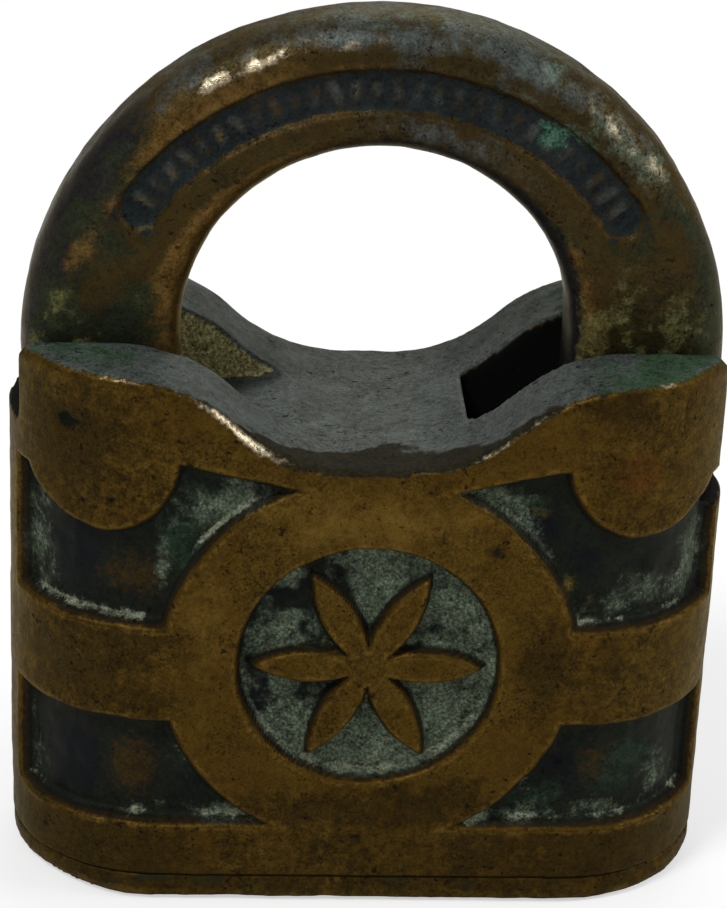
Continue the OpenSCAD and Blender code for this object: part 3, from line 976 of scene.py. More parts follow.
@dataclass
class CaseCasting:
    """The case: an oval casting with relief, a saddle top and two shackle slots. Sizes in millimetres."""

    half_depth: float = 12.4
    end_x: float = 16.5
    foot: float = 2.5
    saddle_z: float = 39.04
    lobe_top: float = 46.34
    flat_half: float = 2.0
    saddle_half: float = 20.0
    corner: float = 3.0
    relief: float = 1.3
    rib_half: float = 4.4
    ring_r: float = 16.3
    medallion_r: float = 10.6
    medallion_z: float = 21.84
    petal_r: float = 8.8
    eye_r: float = 1.6
    lobe_r: float = 6.3
    lobe_x: float = 21.55
    lobe_z: float = 39.74
    foot_band: float = 7.0
    band_low: float = 16.94
    band_high: float = 25.04
    panel_top: float = 37.22
    panel_top_x: float = 5.4
    panel_rise: float = 0.2254
    collar_x: float = 25.4
    collar_z: float = 36.75
    slot_half: float = 4.95
    ramp_half: float = 4.85
    ramp_in: float = -5.9
    ramp_out: float = -15.0
    pin_x: float = 20.4
    pin_z: float = 39.0
    cell: float = 0.43
    draft: float = 0.8

    def saddle(self, x: Array) -> Array:
        """Height of the top at x: a flat, then two equal arcs up to each lobe."""
        a = np.abs(x)
        run = self.saddle_half - self.flat_half
        rise = self.lobe_top - self.saddle_z
        r = (run * run + rise * rise) / (4 * rise)
        out, back = np.maximum(a - self.flat_half, 0), np.maximum(self.saddle_half - a, 0)
        low = self.saddle_z + r - np.sqrt(np.maximum(r * r - np.square(out), 0))
        high = self.lobe_top - r + np.sqrt(np.maximum(r * r - np.square(back), 0))
        return np.where(a - self.flat_half < run / 2, low, high)

    def outline(self, x: Array, y: Array) -> Tuple[Array, Array, Array]:
        """Where a point is about the oval plan.

        Args:
            x: Across.
            y: Front to back.

        Returns:
            Distance outside the plan (negative inside), and the outward direction's x and y.
        """
        dx = x - np.clip(x, -self.end_x, self.end_x)
        r = np.maximum(np.hypot(dx, y), 1e-6)
        return r - self.half_depth, dx / r, y / r

    def blank(self) -> bpy.types.Object:
        """The plain oval body with its saddle, slots, chambers and bores cut.

        Returns:
            The body.
        """
        bm = bmesh.new()
        bmesh.ops.create_circle(bm, cap_ends=True, segments=PLAN_SIDES, radius=self.half_depth)
        half_side = Matrix.Rotation(math.radians(180 / PLAN_SIDES), 3, "Z")
        bmesh.ops.rotate(bm, matrix=half_side, verts=bm.verts)
        for vert in bm.verts:
            vert.co.x += math.copysign(self.end_x, vert.co.x)
            vert.co.z = self.foot
        made = bmesh.ops.extrude_face_region(bm, geom=list(bm.faces))
        tall = [v for v in made["geom"] if isinstance(v, bmesh.types.BMVert)]
        bmesh.ops.translate(bm, vec=(0, 0, self.lobe_top - self.foot), verts=tall)
        body = MeshTools.to_object("case_casting", bm)
        cutters = [self.saddle_cutter()]
        cutters += [MeshTools.block(name, low, high) for name, (low, high) in CASE_CUTS.items()]
        cutters.append(self.ramp_cutter())
        cutters += [MeshTools.rod(name, radius, start, end) for name, radius, start, end in CASE_BORES]
        MeshTools.carve(body, cutters)
        return body

    def saddle_cutter(self) -> bpy.types.Object:
        """What is taken off above the saddle and the lobes' outer corners."""
        bm = bmesh.new()
        bmesh.ops.create_grid(bm, x_segments=240, y_segments=1, size=1.0)
        bmesh.ops.scale(bm, vec=(30.0, 16.0, 1.0), verts=bm.verts)
        edge = self.end_x + self.half_depth
        for vert in bm.verts:
            x = abs(vert.co.x)
            top = float(self.saddle(np.array([x]))[0])
            inside = x - (edge - self.corner)
            if inside > 0:
                drop = self.corner - math.sqrt(max(self.corner ** 2 - inside ** 2, 0.0))
                top -= drop if inside < self.corner else self.corner
            vert.co.z = top
        made = bmesh.ops.extrude_face_region(bm, geom=list(bm.faces))
        for item in made["geom"]:
            if isinstance(item, bmesh.types.BMVert):
                item.co.z = ABOVE_ALL
        return MeshTools.to_object("saddle_cutter", bm)

    def ramp_cutter(self) -> bpy.types.Object:
        """The ramp at the inner end of the toe's slot."""
        ramp = MeshTools.block("ramp", (-14.95, -4.8, 38.54), (-6.0, 4.8, 50.0))
        for vert in ramp.data.vertices:
            if vert.co.z < 0.045 and vert.co.x > -0.01:
                vert.co.z = 39.68 * MM
        return ramp

    def sunk_depth(self, p: Array) -> Tuple[Array, Array]:
        """How deep inside a sunk panel or medallion ground each point lies.

        Args:
            p: Points on the side wall.

        Returns:
            Distance inside the panels' edges, and inside the medallion ground's edges.
        """
        wave = 0.14 * rough_grain(p, 3.2, 11, 2)
        x, y, z = np.abs(p[:, 0]), p[:, 1], p[:, 2]
        ring = np.hypot(p[:, 0], z - self.medallion_z) - self.ring_r
        top = self.panel_top + (x - self.panel_top_x) * self.panel_rise - z
        lobe = np.hypot(x - self.lobe_x, z - self.lobe_z) - self.lobe_r
        collar = np.where(x > self.collar_x, self.collar_z - z, FAR)
        upper = np.minimum.reduce([z - self.band_high, top, ring, lobe, collar])
        lower = np.minimum.reduce([z - self.foot_band, self.band_low - z, ring])
        rib = np.abs(y) - self.rib_half
        panels = np.minimum(np.maximum(upper, lower), rib) + wave
        disc = self.medallion_r - np.hypot(p[:, 0], z - self.medallion_z)
        flower = np.full(len(p), FAR)
        turn = 2 * math.pi / PETALS
        for k in range(PETALS):
            sides = []
            for s in (-1, 1):
                angle = k * turn + s * turn
                cx, cz = self.petal_r * math.cos(angle), self.petal_r * math.sin(angle)
                sides.append(np.hypot(p[:, 0] - cx, z - self.medallion_z - cz) - self.petal_r)
            flower = np.minimum(flower, np.maximum(sides[0], sides[1]))
        flower = np.minimum(flower, np.hypot(p[:, 0], z - self.medallion_z) - self.eye_r)
        return panels, np.minimum(disc, flower - 0.05) + 0.4 * wave

    def refine(self, thing: bpy.types.Object) -> None:
        """Splits the faces along the relief's edges, so that they stay crisp."""
        mesh = thing.data
        p, n = MeshTools.points(mesh), MeshTools.normals(mesh)
        sd, nx, ny = self.outline(p[:, 0], p[:, 1])
        wall = (np.abs(sd) < 0.3) & (n[:, 0] * nx + n[:, 1] * ny > 0.5)
        panels, ground = self.sunk_depth(p)
        near = wall & (((panels > -0.45) & (panels < self.draft + 0.35)) | (ground > -0.5))
        bm = bmesh.new()
        bm.from_mesh(mesh)
        bm.verts.ensure_lookup_table()
        picked = [f for f in bm.faces if all(near[v.index] for v in f.verts)]
        edges = {e for f in picked for e in f.edges}
        bmesh.ops.subdivide_edges(bm, edges=list(edges), cuts=1, use_grid_fill=True)
        bmesh.ops.triangulate(bm, faces=[f for f in bm.faces if len(f.verts) > 4])
        bm.to_mesh(mesh)
        bm.free()

    def sculpt(self, thing: bpy.types.Object) -> Masks:
        """Gives the even body its relief, soft worn edges and cast unevenness.

        Args:
            thing: The even body.

        Returns:
            The masks of its finish.
        """
        mesh = thing.data
        p, n = MeshTools.points(mesh), MeshTools.normals(mesh)
        x, y, z = p.T
        sd, nx, ny = self.outline(x, y)
        outward = n[:, 0] * nx + n[:, 1] * ny
        crown = self.saddle(x)
        # The worn outer corner of each lobe
        over = np.abs(x) - (self.end_x + self.half_depth - self.corner)
        arc = np.sqrt(np.maximum(self.corner ** 2 - np.square(np.clip(over, 0, self.corner)), 0))
        crown = crown - np.where(over > 0, self.corner - arc, 0)
        below = crown - z
        slot = np.abs(y) < self.slot_half
        ramp = (np.abs(y) < self.ramp_half) & (x < self.ramp_in) & (x > self.ramp_out) & (below > 0.02)
        wall = (np.abs(sd) < 0.4) & (outward > 0.4) & (outward >= n[:, 2] - 0.05)
        top = (np.abs(below) < 0.4) & (n[:, 2] > 0.35) & ~wall & ~ramp
        # The top edge is rolled over an arc: phi runs from 0 on the wall to a right angle on top
        soft = 0.62 + 0.2 * grain(p, 5.0, 19) + np.where(y < 0, 0.75 * bump(x, -8.5, 4.0), 0.25)
        path = np.where(wall, soft - below, soft - sd)
        rounded = (wall & (below < soft)) | (top & (-sd < soft))
        phi = np.where(rounded, np.clip(path / (2 * soft), 0, 1) * math.pi / 2,
                       np.where(top, math.pi / 2, 0.0))
        inset = np.where(rounded, soft * (1 - np.cos(phi)), np.where(top, -sd, 0.0))
        drop = np.where(rounded, soft * (1 - np.sin(phi)), np.where(wall, below, 0.0))
        # The relief, its uneven floor, the chipped foot and the dents
        panels, ground = self.sunk_depth(p)
        sunk = smooth(panels, -0.12, self.draft)
        sunk_ground = smooth(ground, -0.08, 0.55)
        sink = np.where(wall, np.maximum(sunk, sunk_ground), 0.0)
        depth = self.relief * sink
        uneven = 0.05 + 0.05 * rough_grain(p, 5.5, 21) + 0.035 * rough_grain(p, 1.6, 27, 2)
        floor_lumps = 0.09 * rough_grain(p, 1.3, 33, 2) * sink
        floor_lumps += np.where(wall, 0.13 * rough_grain(p, 0.85, 37, 2) * sunk_ground, 0.0)
        chip = np.where(wall, 0.09 * smooth(self.foot + 0.3 - z, 0.0, 0.3), 0.0)
        ding = np.zeros(len(p))
        ragged = 1 + 0.5 * grain(p, 0.7, 41)
        for dx, dz, size, deep in DENTS:
            gap = np.hypot(x - dx, z - dz) / (size * ragged)
            ding += np.where(wall & (y < 0), deep * np.exp(-gap ** 2 * 1.6), 0.0)
        # Each vertex moves inward along the plan's own direction, never outward
        level = np.maximum(inset + depth + chip + ding + uneven + floor_lumps, 0.02)
        cx = np.clip(x, -self.end_x, self.end_x)
        reach = self.half_depth - level
        q = p.copy()
        side = wall | rounded
        q[side, 0] = (cx + nx * reach)[side]
        q[side, 1] = (ny * reach)[side]
        q[side, 2] = np.maximum(crown - drop, self.foot)[side]
        q[wall & ~rounded, 2] = z[wall & ~rounded]
        worn = 0.07 + 0.08 * rough_grain(p, 4.0, 51) + 0.04 * rough_grain(p, 1.2, 57, 2)
        q[top & ~rounded, 2] = (crown - np.maximum(worn, 0.01))[top & ~rounded]
        q[rounded, 2] -= (np.maximum(worn, 0.01) * np.sin(phi))[rounded]
        MeshTools.move(mesh, q)
        return self.masks(p, n, wall, top, phi, panels, ground, sink, ding, slot)

    def masks(self, p: Array, n: Array, wall: Array, top: Array, phi: Array, panels: Array, ground: Array,
              sink: Array, ding: Array, slot: Array) -> Masks:
        """Where each deposit, stain and rubbed edge lies, and where shade and highlights are painted.

        Args:
            p: Vertices before the relief.
            n: Their directions.
            wall: Those on the side wall.
            top: Those on the top.
            phi: How far round the top edge each one is.
            panels: Distance inside the panels.
            ground: Distance inside the medallion ground.
            sink: Share of the full relief.
            ding: Depth of dents.
            slot: Those within the slots' width.

        Returns:
            One value a vertex for each mask.
        """
        x, y, z = p.T
        cloud = rough_grain(p, 6.0, 61)
        small = rough_grain(p, 2.0, 67)
        inside = ~(wall | top)
        floor = wall & (panels > 0.15)
        laid = {name: np.where(floor, patched(p, PATCHES[name]), 0.0)
                for name in ("haze_and_highlight", "blue", "rub", "green", "ochre")}
        # Pale lines along the panels' lower sills and round the ring, partly crust and partly painted
        # highlight where these edges catch light from above; a painted highlight inside the medallion's
        # rim, strongest at the bottom
        sill = np.minimum(np.abs(z - self.band_high), np.abs(z - self.foot_band))
        along_sill = 0.5 + 0.5 * cloud + 0.8 * small + 0.2 * (x > 0) + 0.25 * (np.abs(x) < 16)
        deep_in = wall & (panels > 0.2)
        line = np.where(deep_in, bump(panels, 0.8, 0.3) * smooth(-sill, -1.3, -0.7) * along_sill, 0.0)
        from_eye = np.hypot(x, z - self.medallion_z)
        arc = from_eye - self.ring_r
        line += np.where(deep_in, bump(arc, 0.7, 0.22) * (0.15 + 0.5 * cloud + 0.6 * small), 0.0)
        # A painted highlight just inside the medallion's rim, strongest at the bottom
        lower_rim_highlight = bump(self.medallion_r - from_eye, 0.75, 0.32) * (0.2 + 0.7 * smooth(-z, -22.0, -13.0))
        line += np.where(wall, lower_rim_highlight * (0.7 + 0.9 * small), 0.0)
        # Pale haze on the medallion's ground and on the panels' floors
        medal = smooth(ground, 0.1, 0.6) * (0.46 + 0.5 * smooth(x, -7, 7) + 1.5 * smooth(-z, -18.0, -12.0))
        medal += 0.45 * smooth(ground, 0.1, 0.6) * small
        haze_and_highlight = np.where(wall, np.maximum(laid["haze_and_highlight"] * (0.76 + 0.45 * small), medal), 0.0)
        haze_and_highlight += np.where(floor, 0.03 + 0.12 * cloud, 0.0)
        # Rubbed edges of the relief; along the saddle's rolled top edge, a painted highlight, brightest at
        # the front-left
        edge_in = bump(panels, -0.2, 0.22) + bump(ground, -0.2, 0.2) * (ground > -1)
        rim = bump(phi, 0.8, 0.34) * (phi > 0) * (phi < 1.55)
        shine = bump(x, -10.6, 3.4) + 0.55 * bump(x, 9.5, 5.5)
        shine = shine + 0.7 * bump(x, -20.2, 2.8) + 0.7 * bump(x, 21.8, 1.6)
        saddle_rim_highlight = rim * np.where(y < 0, 0.12 + shine, 0.3)
        # Slate on the top; near-black painted shade in the slots and the chambers; a granular deposit by
        # the ramp, its colour lifted as painted light against the shackle's shadow
        slate = smooth(phi, 1.0, 1.4)
        ramp = inside & (z > 37.9) & (x < -5) & (x > -15.2) & (n[:, 2] > 0.6) & slot
        slate = np.where(ramp, 0.9, slate)
        # Painted shade: every inner face that is neither side wall nor top, in the slots and the chambers
        dark = np.where(inside & ~ramp, 1.0, 0.0)
        crud_wall = inside & slot & (x < -5.5) & (x > -17) & (z > 37.5) & ~ramp
        # The ramp's granular deposit; its colour is lifted as painted light against the shackle's shadow
        granular = np.where(crud_wall, 0.95, 0.0) + np.where(ramp, smooth(-x, 10.0, 14.0) * 0.8, 0.0)
        dark = np.where(crud_wall, 0.0, dark)
        # Crud along the saddle's front, moss on the lobes
        front_in = self.half_depth + y
        width = 5.2 * bump(x, 1.0, 10.5) + 0.9 * small + 0.5 * cloud
        crud = np.where((top | (phi > 0.5)) & (y < 0) & (np.abs(x) < 18),
                        smooth(width - front_in, -0.2, 1.0), 0.0)
        drift = 2.6 * cloud + 2.2 * small
        moss = np.where(phi > 0.9, smooth(x + drift, 13.5, 22.0) * (0.75 + 0.4 * small), 0.0)
        moss += np.where(phi > 0.9, smooth(-x + drift, 17.0, 25.0) * 0.6 * (0.8 + 0.5 * small), 0.0)
        # The pin's dressed end, and the plain raised skin
        pin = smooth(-np.hypot(x - self.pin_x, z - self.pin_z), -2.3, -1.6) * wall
        plain = wall & (panels < 0.0) & (ground < 0.0)
        return {
            "sunk": smooth(sink, 0.3, 0.8) * wall, "haze_and_highlight": haze_and_highlight, "line": line,
            "crest": edge_in * wall * 0.6, "rim": saddle_rim_highlight, "slate": slate, "dark": dark,
            "granular": granular, "moss": moss, "rub": laid["rub"],
            "blue": laid["blue"] + smooth(ground, 0.1, 0.6) * smooth(-x, 1.0, 7.0) * 0.5,
            "green": laid["green"] + np.where(floor, 0.3 * smooth(cloud, 0.0, 0.6), 0.0),
            "ochre": laid["ochre"], "pin": pin * 0.55, "crud": crud,
            "gold": np.where(plain, patched(p, PATCHES["gold"]), 0.0),
            # Darker towards the bottom of the case: painted shade; the patches, the cloud and the lobes'
            # tone are stains
            "stain": np.where(plain, patched(p, PATCHES["stain"]) + 0.35 * smooth(cloud, 0.2, 0.7) +
                              0.5 * smooth(-z, -16.0, -5.0) + 0.45 * smooth(np.abs(x), 12.0, 19.0), 0.0),
            "void": np.clip(ding * 3.0, 0, 1),
            # Near-black painted shade on the relief's sloping walls
            "painted_wall_shade": np.where(wall, smooth(sink, 0.02, 0.4) * smooth(-sink, -0.97, -0.6), 0.0),
        }

    def finish(self) -> CastFinish:
        """The finish of the casting."""
        return CastFinish("bronze_case", BROWN, BROWN_DARK, BROWN_WARM, (
            # Gold patches: tone, and painted light over the ring's top
            Layer("gold", GOLD, BROWN, 0.38, 0.85, 0.5, 0.6, 0.7),
            STAIN_AND_SHADE,
            Layer("pin", RED_BROWN, RED_BROWN, 0.42, 0.8, 0.35, 1.0, 0.6),
            Layer("sunk", DEEP_GREEN, DEEP_BLUE, 0.55, 0.2, 0.2),
            Layer("blue", DEEP_BLUE, INK, 0.5, 0.3, 0.5, 0.9, 0.85),
            Layer("rub", RUBBED, linear(26, 20, 9), 0.5, 0.5, 0.7, 1.3, 0.75),
            Layer("green", linear(38, 60, 44), linear(18, 28, 22), 0.7, 0.0, 0.7, 1.0, 0.75, 0.4),
            Layer("haze_and_highlight", PALE, PALE_DARK, 0.85, 0.0, 0.55, 1.2, 0.8, 0.6),
            Layer("ochre", linear(104, 88, 34), OCHRE_DARK, 0.8, 0.0, 0.6, 1.6, 0.85, 0.5),
            # Painted shade on the relief's walls
            Layer("painted_wall_shade", SOOT_AND_SHADE, SOOT_AND_SHADE, 0.75, 0.0, 0.5, 1.2, 0.8),
            # Pale lines at the lower sills and the ring: partly crust, partly painted highlight
            Layer("line", CHALK, PALE_DARK, 0.7, 0.0, 0.7, 2.6, 0.85, 0.45),
            Layer("slate", SLATE, SLATE_DARK, 0.5, 0.25, 0.3, 0.8, 0.95),
            Layer("crud", CRUD, CRUD_DARK, 0.75, 0.1, 0.6, 0.9, 1.0),
            Layer("moss", MOSS, MOSS_DARK, 0.75, 0.0, 0.8, 1.1, 0.8),
            # Painted shade in the slots and the chambers
            Layer("dark", SOOT_AND_SHADE, DEEP_BLUE, 0.8, 0.0, 0.1),
            # Granular deposit made paler than its own tone: painted light against the shackle's shadow
            Layer("granular", linear(226, 222, 160), linear(98, 94, 58), 0.9, 0.0, 0.4, 1.8, 0.95, 0.6),
            Layer("crest", linear(112, 86, 38), BROWN, 0.34, 0.85, 0.6, 1.2, 0.55),
            # A painted highlight along the saddle's rolled top edge
            Layer("rim", PAINTED_HIGHLIGHT, linear(128, 108, 72), 0.24, 0.95, 0.45, 0.8, 0.9),
            Layer("void", SOOT_AND_SHADE, SOOT_AND_SHADE, 0.85, 0.0, 0.3)))

    def build(self, groups: Groups) -> bpy.types.Object:
        """Makes the casting.

        Args:
            groups: The shared effects.

        Returns:
            The finished piece.
        """
        thing = self.blank()
        MeshTools.even(thing, self.cell)
        self.refine(thing)
        MeshTools.paint(thing.data, self.sculpt(thing))
        MeshTools.finish(thing, self.finish().build(groups), "case", "cast_bronze", "case")
        return thing


# ------------------------------------------------------------------ the shackle


@dataclass
class ShackleCasting:
    """The shackle: an arch with a sunk band, a round heel and a notched toe. Sizes in millimetres."""

    arch_z: float = 44.49
    outer: float = 27.9
    inner: float = 15.2
    inner_z: float = 46.79
    band_mid: float = 22.5
    band_half: float = 1.7
    band_turn: float = 56.0
    shoulder_z: float = 41.54
    shoulder_r: float = 3.0
    pivot_x: float = 21.55
    pivot_z: float = 39.74
    cell: float = 0.36
    bars: int = 28

    def sculpt(self, thing: bpy.types.Object) -> Masks:
        """Wears the shackle: soft edges, cast unevenness, the rounded shoulder and the band's row of bars.

        Args:
            thing: The even copy.

        Returns:
            The masks of its finish.
        """
        mesh = thing.data
        pairs = MeshTools.pairs(mesh)
        p = MeshTools.points(mesh)
        eye = np.hypot(p[:, 0] - self.pivot_x, p[:, 2] - self.pivot_z)
        fixed = (eye < 3.6) | (p[:, 2] < 38.0)
        even = MeshTools.spread(pairs, p, 3)
        p = np.where(fixed[:, None], p, even)
        x, y, z = p.T
        arm_x, arm_z = -(self.outer - self.shoulder_r), self.shoulder_z + self.shoulder_r
        corner = (x < arm_x) & (z < arm_z)
        span = np.hypot(x - arm_x, z - arm_z)
        pull = np.where(corner & (span > self.shoulder_r), self.shoulder_r / np.maximum(span, 1e-6), 1.0)
        x = np.where(corner, arm_x + (x - arm_x) * pull, x)
        z = np.where(corner, arm_z + (z - arm_z) * pull, z)
        p = np.stack([x, y, z], axis=1)
        MeshTools.move(mesh, p)
        n = MeshTools.normals(mesh)
        radius = np.hypot(x, z - self.arch_z)
        turn = np.degrees(np.arctan2(x, z - self.arch_z))
        flat = np.abs(n[:, 1]) > 0.75
        in_band = flat & (np.abs(radius - self.band_mid) < self.band_half)
        in_band &= np.abs(turn) < self.band_turn + 4
        step = 2 * self.band_turn / self.bars
        phase = (turn + self.band_turn) / step
        place = np.floor(phase)
        along = (phase - place - 0.5) * math.radians(step) * self.band_mid
        worn = 0.62 + 0.38 * grain(np.stack([place, 0 * phase, 0 * phase], 1) * 7.0, 2.0, 5)
        lean = 0.22 * np.sin(place * 2.4) * (radius - self.band_mid)
        reach = 1.05 + 0.16 * np.cos(place * 1.7)
        pellet = np.exp(-(np.abs(along + lean) / 0.52) ** 4 - (np.abs(radius - self.band_mid) / reach) ** 4)
        pellet = np.where(in_band & (np.abs(turn) < self.band_turn - 1), pellet * worn, 0.0)
        height = 0.42 * pellet
        uneven = 0.05 + 0.05 * rough_grain(p, 6.0, 71) + 0.04 * rough_grain(p, 1.7, 77, 2)
        uneven = np.where(fixed, 0.0, np.maximum(uneven, 0.0))
        q = p + n * (height - uneven)[:, None]
        MeshTools.move(mesh, q)
        stand = MeshTools.convexity(mesh, 14)
        return self.masks(p, n, stand, radius, turn, in_band, pellet)

    def masks(self, p: Array, n: Array, stand: Array, radius: Array, turn: Array, in_band: Array,
              pellet: Array) -> Masks:
        """Where each stain and rubbed place lies, and where highlights are painted.

        Args:
            p: Vertices.
            n: Their directions.
            stand: How far each stands out from its surroundings.
            radius: Distance from the arch's centre.
            turn: Angle from the top, in degrees.
            in_band: Those in the sunk band.
            pellet: Height of the band's bars, 0 to 1.

        Returns:
            One value a vertex for each mask.
        """
        x, y, z = p.T
        cloud = rough_grain(p, 7.0, 81)
        small = rough_grain(p, 2.2, 87)
        face = smooth(np.abs(n[:, 1]), 0.45, 0.8)
        away = n[:, 0] * np.sin(np.radians(turn)) + n[:, 2] * np.cos(np.radians(turn))
        outside = smooth(away, 0.25, 0.7) * (radius > 25.0)
        inside = smooth(-away, 0.25, 0.7) * (radius < 20.0)
        from_bore = np.where(z > self.inner_z, np.hypot(x, z - self.inner_z), np.abs(x)) - self.inner
        low = smooth(-z, -54.0, -45.0)
        gap = np.where(in_band, 1.0 - 0.7 * pellet, 0.0)
        ridge = self.outer - radius
        # Tarnish: slate over the top, ink on the left and inside, olive on the right, ochre low
        slate = outside * (0.35 + 0.65 * bump(turn, 6.0, 34.0)) * (0.8 + 0.3 * cloud)
        slate += face * bump(turn, 16.0, 30.0) * (0.42 + 0.45 * cloud)
        ink = outside * smooth(-turn, 30.0, 55.0) * 0.9 + inside * smooth(turn, 8.0, 45.0) * 0.9
        ink += face * smooth(-x, 17.0, 21.5) * (0.75 + 0.7 * cloud) * (z < 63)
        ink += face * smooth(turn, 25.0, 50.0) * (0.15 + 0.5 * cloud)
        ink += inside * bump(turn, 0.0, 26.0) * 0.75
        olive = face * smooth(turn, 20.0, 60.0) * (0.5 + 0.5 * cloud)
        olive += outside * smooth(turn, 45.0, 75.0) * 0.7 + face * low * smooth(-x, 0.0, 8.0) * 0.4
        olive += face * smooth(-x, 15.5, 18.5) * (z < 64) * (0.6 + 0.4 * small)
        ochre = face * low * (0.3 + 0.7 * small) * (0.55 + 0.35 * (x > 0))
        ochre += face * bump(x, 19.0, 3.2) * smooth(-z, -57, -48) * (0.45 + 0.5 * small)
        ochre += face * bump(x, -24.0, 2.4) * bump(z, 47.5, 4.0) * (0.25 + 0.6 * small)
        # Teal spots, and warm metal where the tarnish is rubbed away; the warm band along the legs' inner
        # edge, strongest on the left leg, is a painted highlight
        teal = bump(np.hypot(x - 12.9, z - 63.9), 0.0, 1.5) * (0.5 + 0.6 * small) * face
        spots = bump(turn, 22.0, 9.0) + bump(turn, 47.0, 8.0) + 0.6 * bump(turn, 2.0, 7.0)
        teal += outside * spots * 0.6 * small
        teal += face * bump(turn, 34.0, 9.0) * bump(radius, 24.8, 1.0) * (0.3 + 0.6 * small)
        warm = inside * smooth(-x, 3.0, 11.0) * 0.9
        warm += face * bump(radius, 17.6, 1.3) * (0.9 - 0.6 * smooth(x, -6, 8))
        # Painted highlight: a warm band along the legs' inner edge, strongest on the left leg
        warm += (y < 0) * bump(from_bore, 1.0, 1.1) * smooth(-z, -60.0, -52.0) * (0.5 + 0.7 * (x < 0))
        warm += face * bump(ridge, 2.9, 1.3) * smooth(-turn, 4.0, 26.0) * 0.75 * (z > 52)
        # Worn edges; painted highlights along the front ridge on the left and the right, and pale haze on
        # the right shoulder that is partly a painted highlight
        crest = smooth(stand, 0.05, 0.20) * (1 - 0.6 * smooth(x, 0, 14)) * (0.55 + 0.5 * small)
        rim = bump(ridge, 1.7, 0.5) * bump(turn, -22.0, 22.0) * (0.38 + 0.75 * small) * (y < 0)
        rim += bump(ridge, 1.5, 0.8) * bump(turn, 45.0, 11.0) * 0.75 * (0.45 + 0.6 * small) * (y < 0)
        haze_and_highlight = gap * 0.1 * (turn > 0) + bump(ridge, 2.0, 0.9) * bump(turn, 46.0, 10.0) * (y < 0) * 0.8
        haze_and_highlight = haze_and_highlight + outside * bump(turn, 30.0, 30.0) * (0.18 + 0.4 * small)
        return {"slate": slate, "ink": ink, "olive": olive, "ochre": ochre, "teal": teal, "warm": warm,
                "crest": crest, "rim": rim, "haze_and_highlight": haze_and_highlight, "sunk": gap * 0.9, "bars": pellet * 0.8}

    def finish(self) -> CastFinish:
        """The finish of the shackle."""
        return CastFinish("bronze_shackle", linear(62, 52, 28), linear(24, 22, 15), linear(62, 47, 19), (
            # Rubbed warm metal, and a painted highlight along the legs' inner edge
            Layer("warm", linear(112, 86, 44), linear(58, 42, 16), 0.36, 0.85, 0.5, 0.8, 0.85),
            Layer("slate", SLATE, SLATE_DARK, 0.4, 0.5, 0.5, 0.7, 0.85),
            Layer("ink", linear(34, 34, 38), linear(17, 19, 22), 0.36, 0.5, 0.5, 0.7, 0.9),
            Layer("olive", linear(44, 50, 31), linear(18, 22, 17), 0.45, 0.4, 0.65, 0.9, 0.9),
            Layer("sunk", linear(30, 40, 44), linear(15, 20, 23), 0.55, 0.2, 0.35, 1.0, 0.9),
            Layer("bars", linear(64, 74, 76), linear(34, 41, 40), 0.45, 0.4, 0.5, 1.0, 0.85),
            # Pale haze, and a painted highlight on the right shoulder's ridge
            Layer("haze_and_highlight", PALE, PALE_DARK, 0.85, 0.0, 0.65, 1.4, 0.6, 0.5),
            Layer("ochre", OCHRE, OCHRE_DARK, 0.75, 0.0, 0.7, 1.2, 0.75, 0.35),
            Layer("teal", TEAL, MOSS, 0.7, 0.0, 0.8, 1.4, 0.8, 0.5),
            Layer("crest", linear(100, 78, 40), BROWN, 0.32, 0.85, 0.6, 1.0, 0.7),
            # Painted highlights along the shackle's front ridge
            Layer("rim", PAINTED_HIGHLIGHT, linear(128, 110, 80), 0.22, 0.95, 0.6, 0.9, 0.85)), pitting=0.42)

    def build(self, node: bpy.types.Object, groups: Groups) -> bpy.types.Object:
        """Makes the shackle.

        Args:
            node: The frame's node, which is copied.
            groups: The shared effects.

        Returns:
            The finished piece.
        """
        thing = MeshTools.copy_node("shackle_casting", node)
        MeshTools.even(thing, self.cell)
        MeshTools.paint(thing.data, self.sculpt(thing))
        MeshTools.finish(thing, self.finish().build(groups), "shackle", "shackle_bronze", "shackle")
        return thing


# ------------------------------------------------------------------ base plate and pin


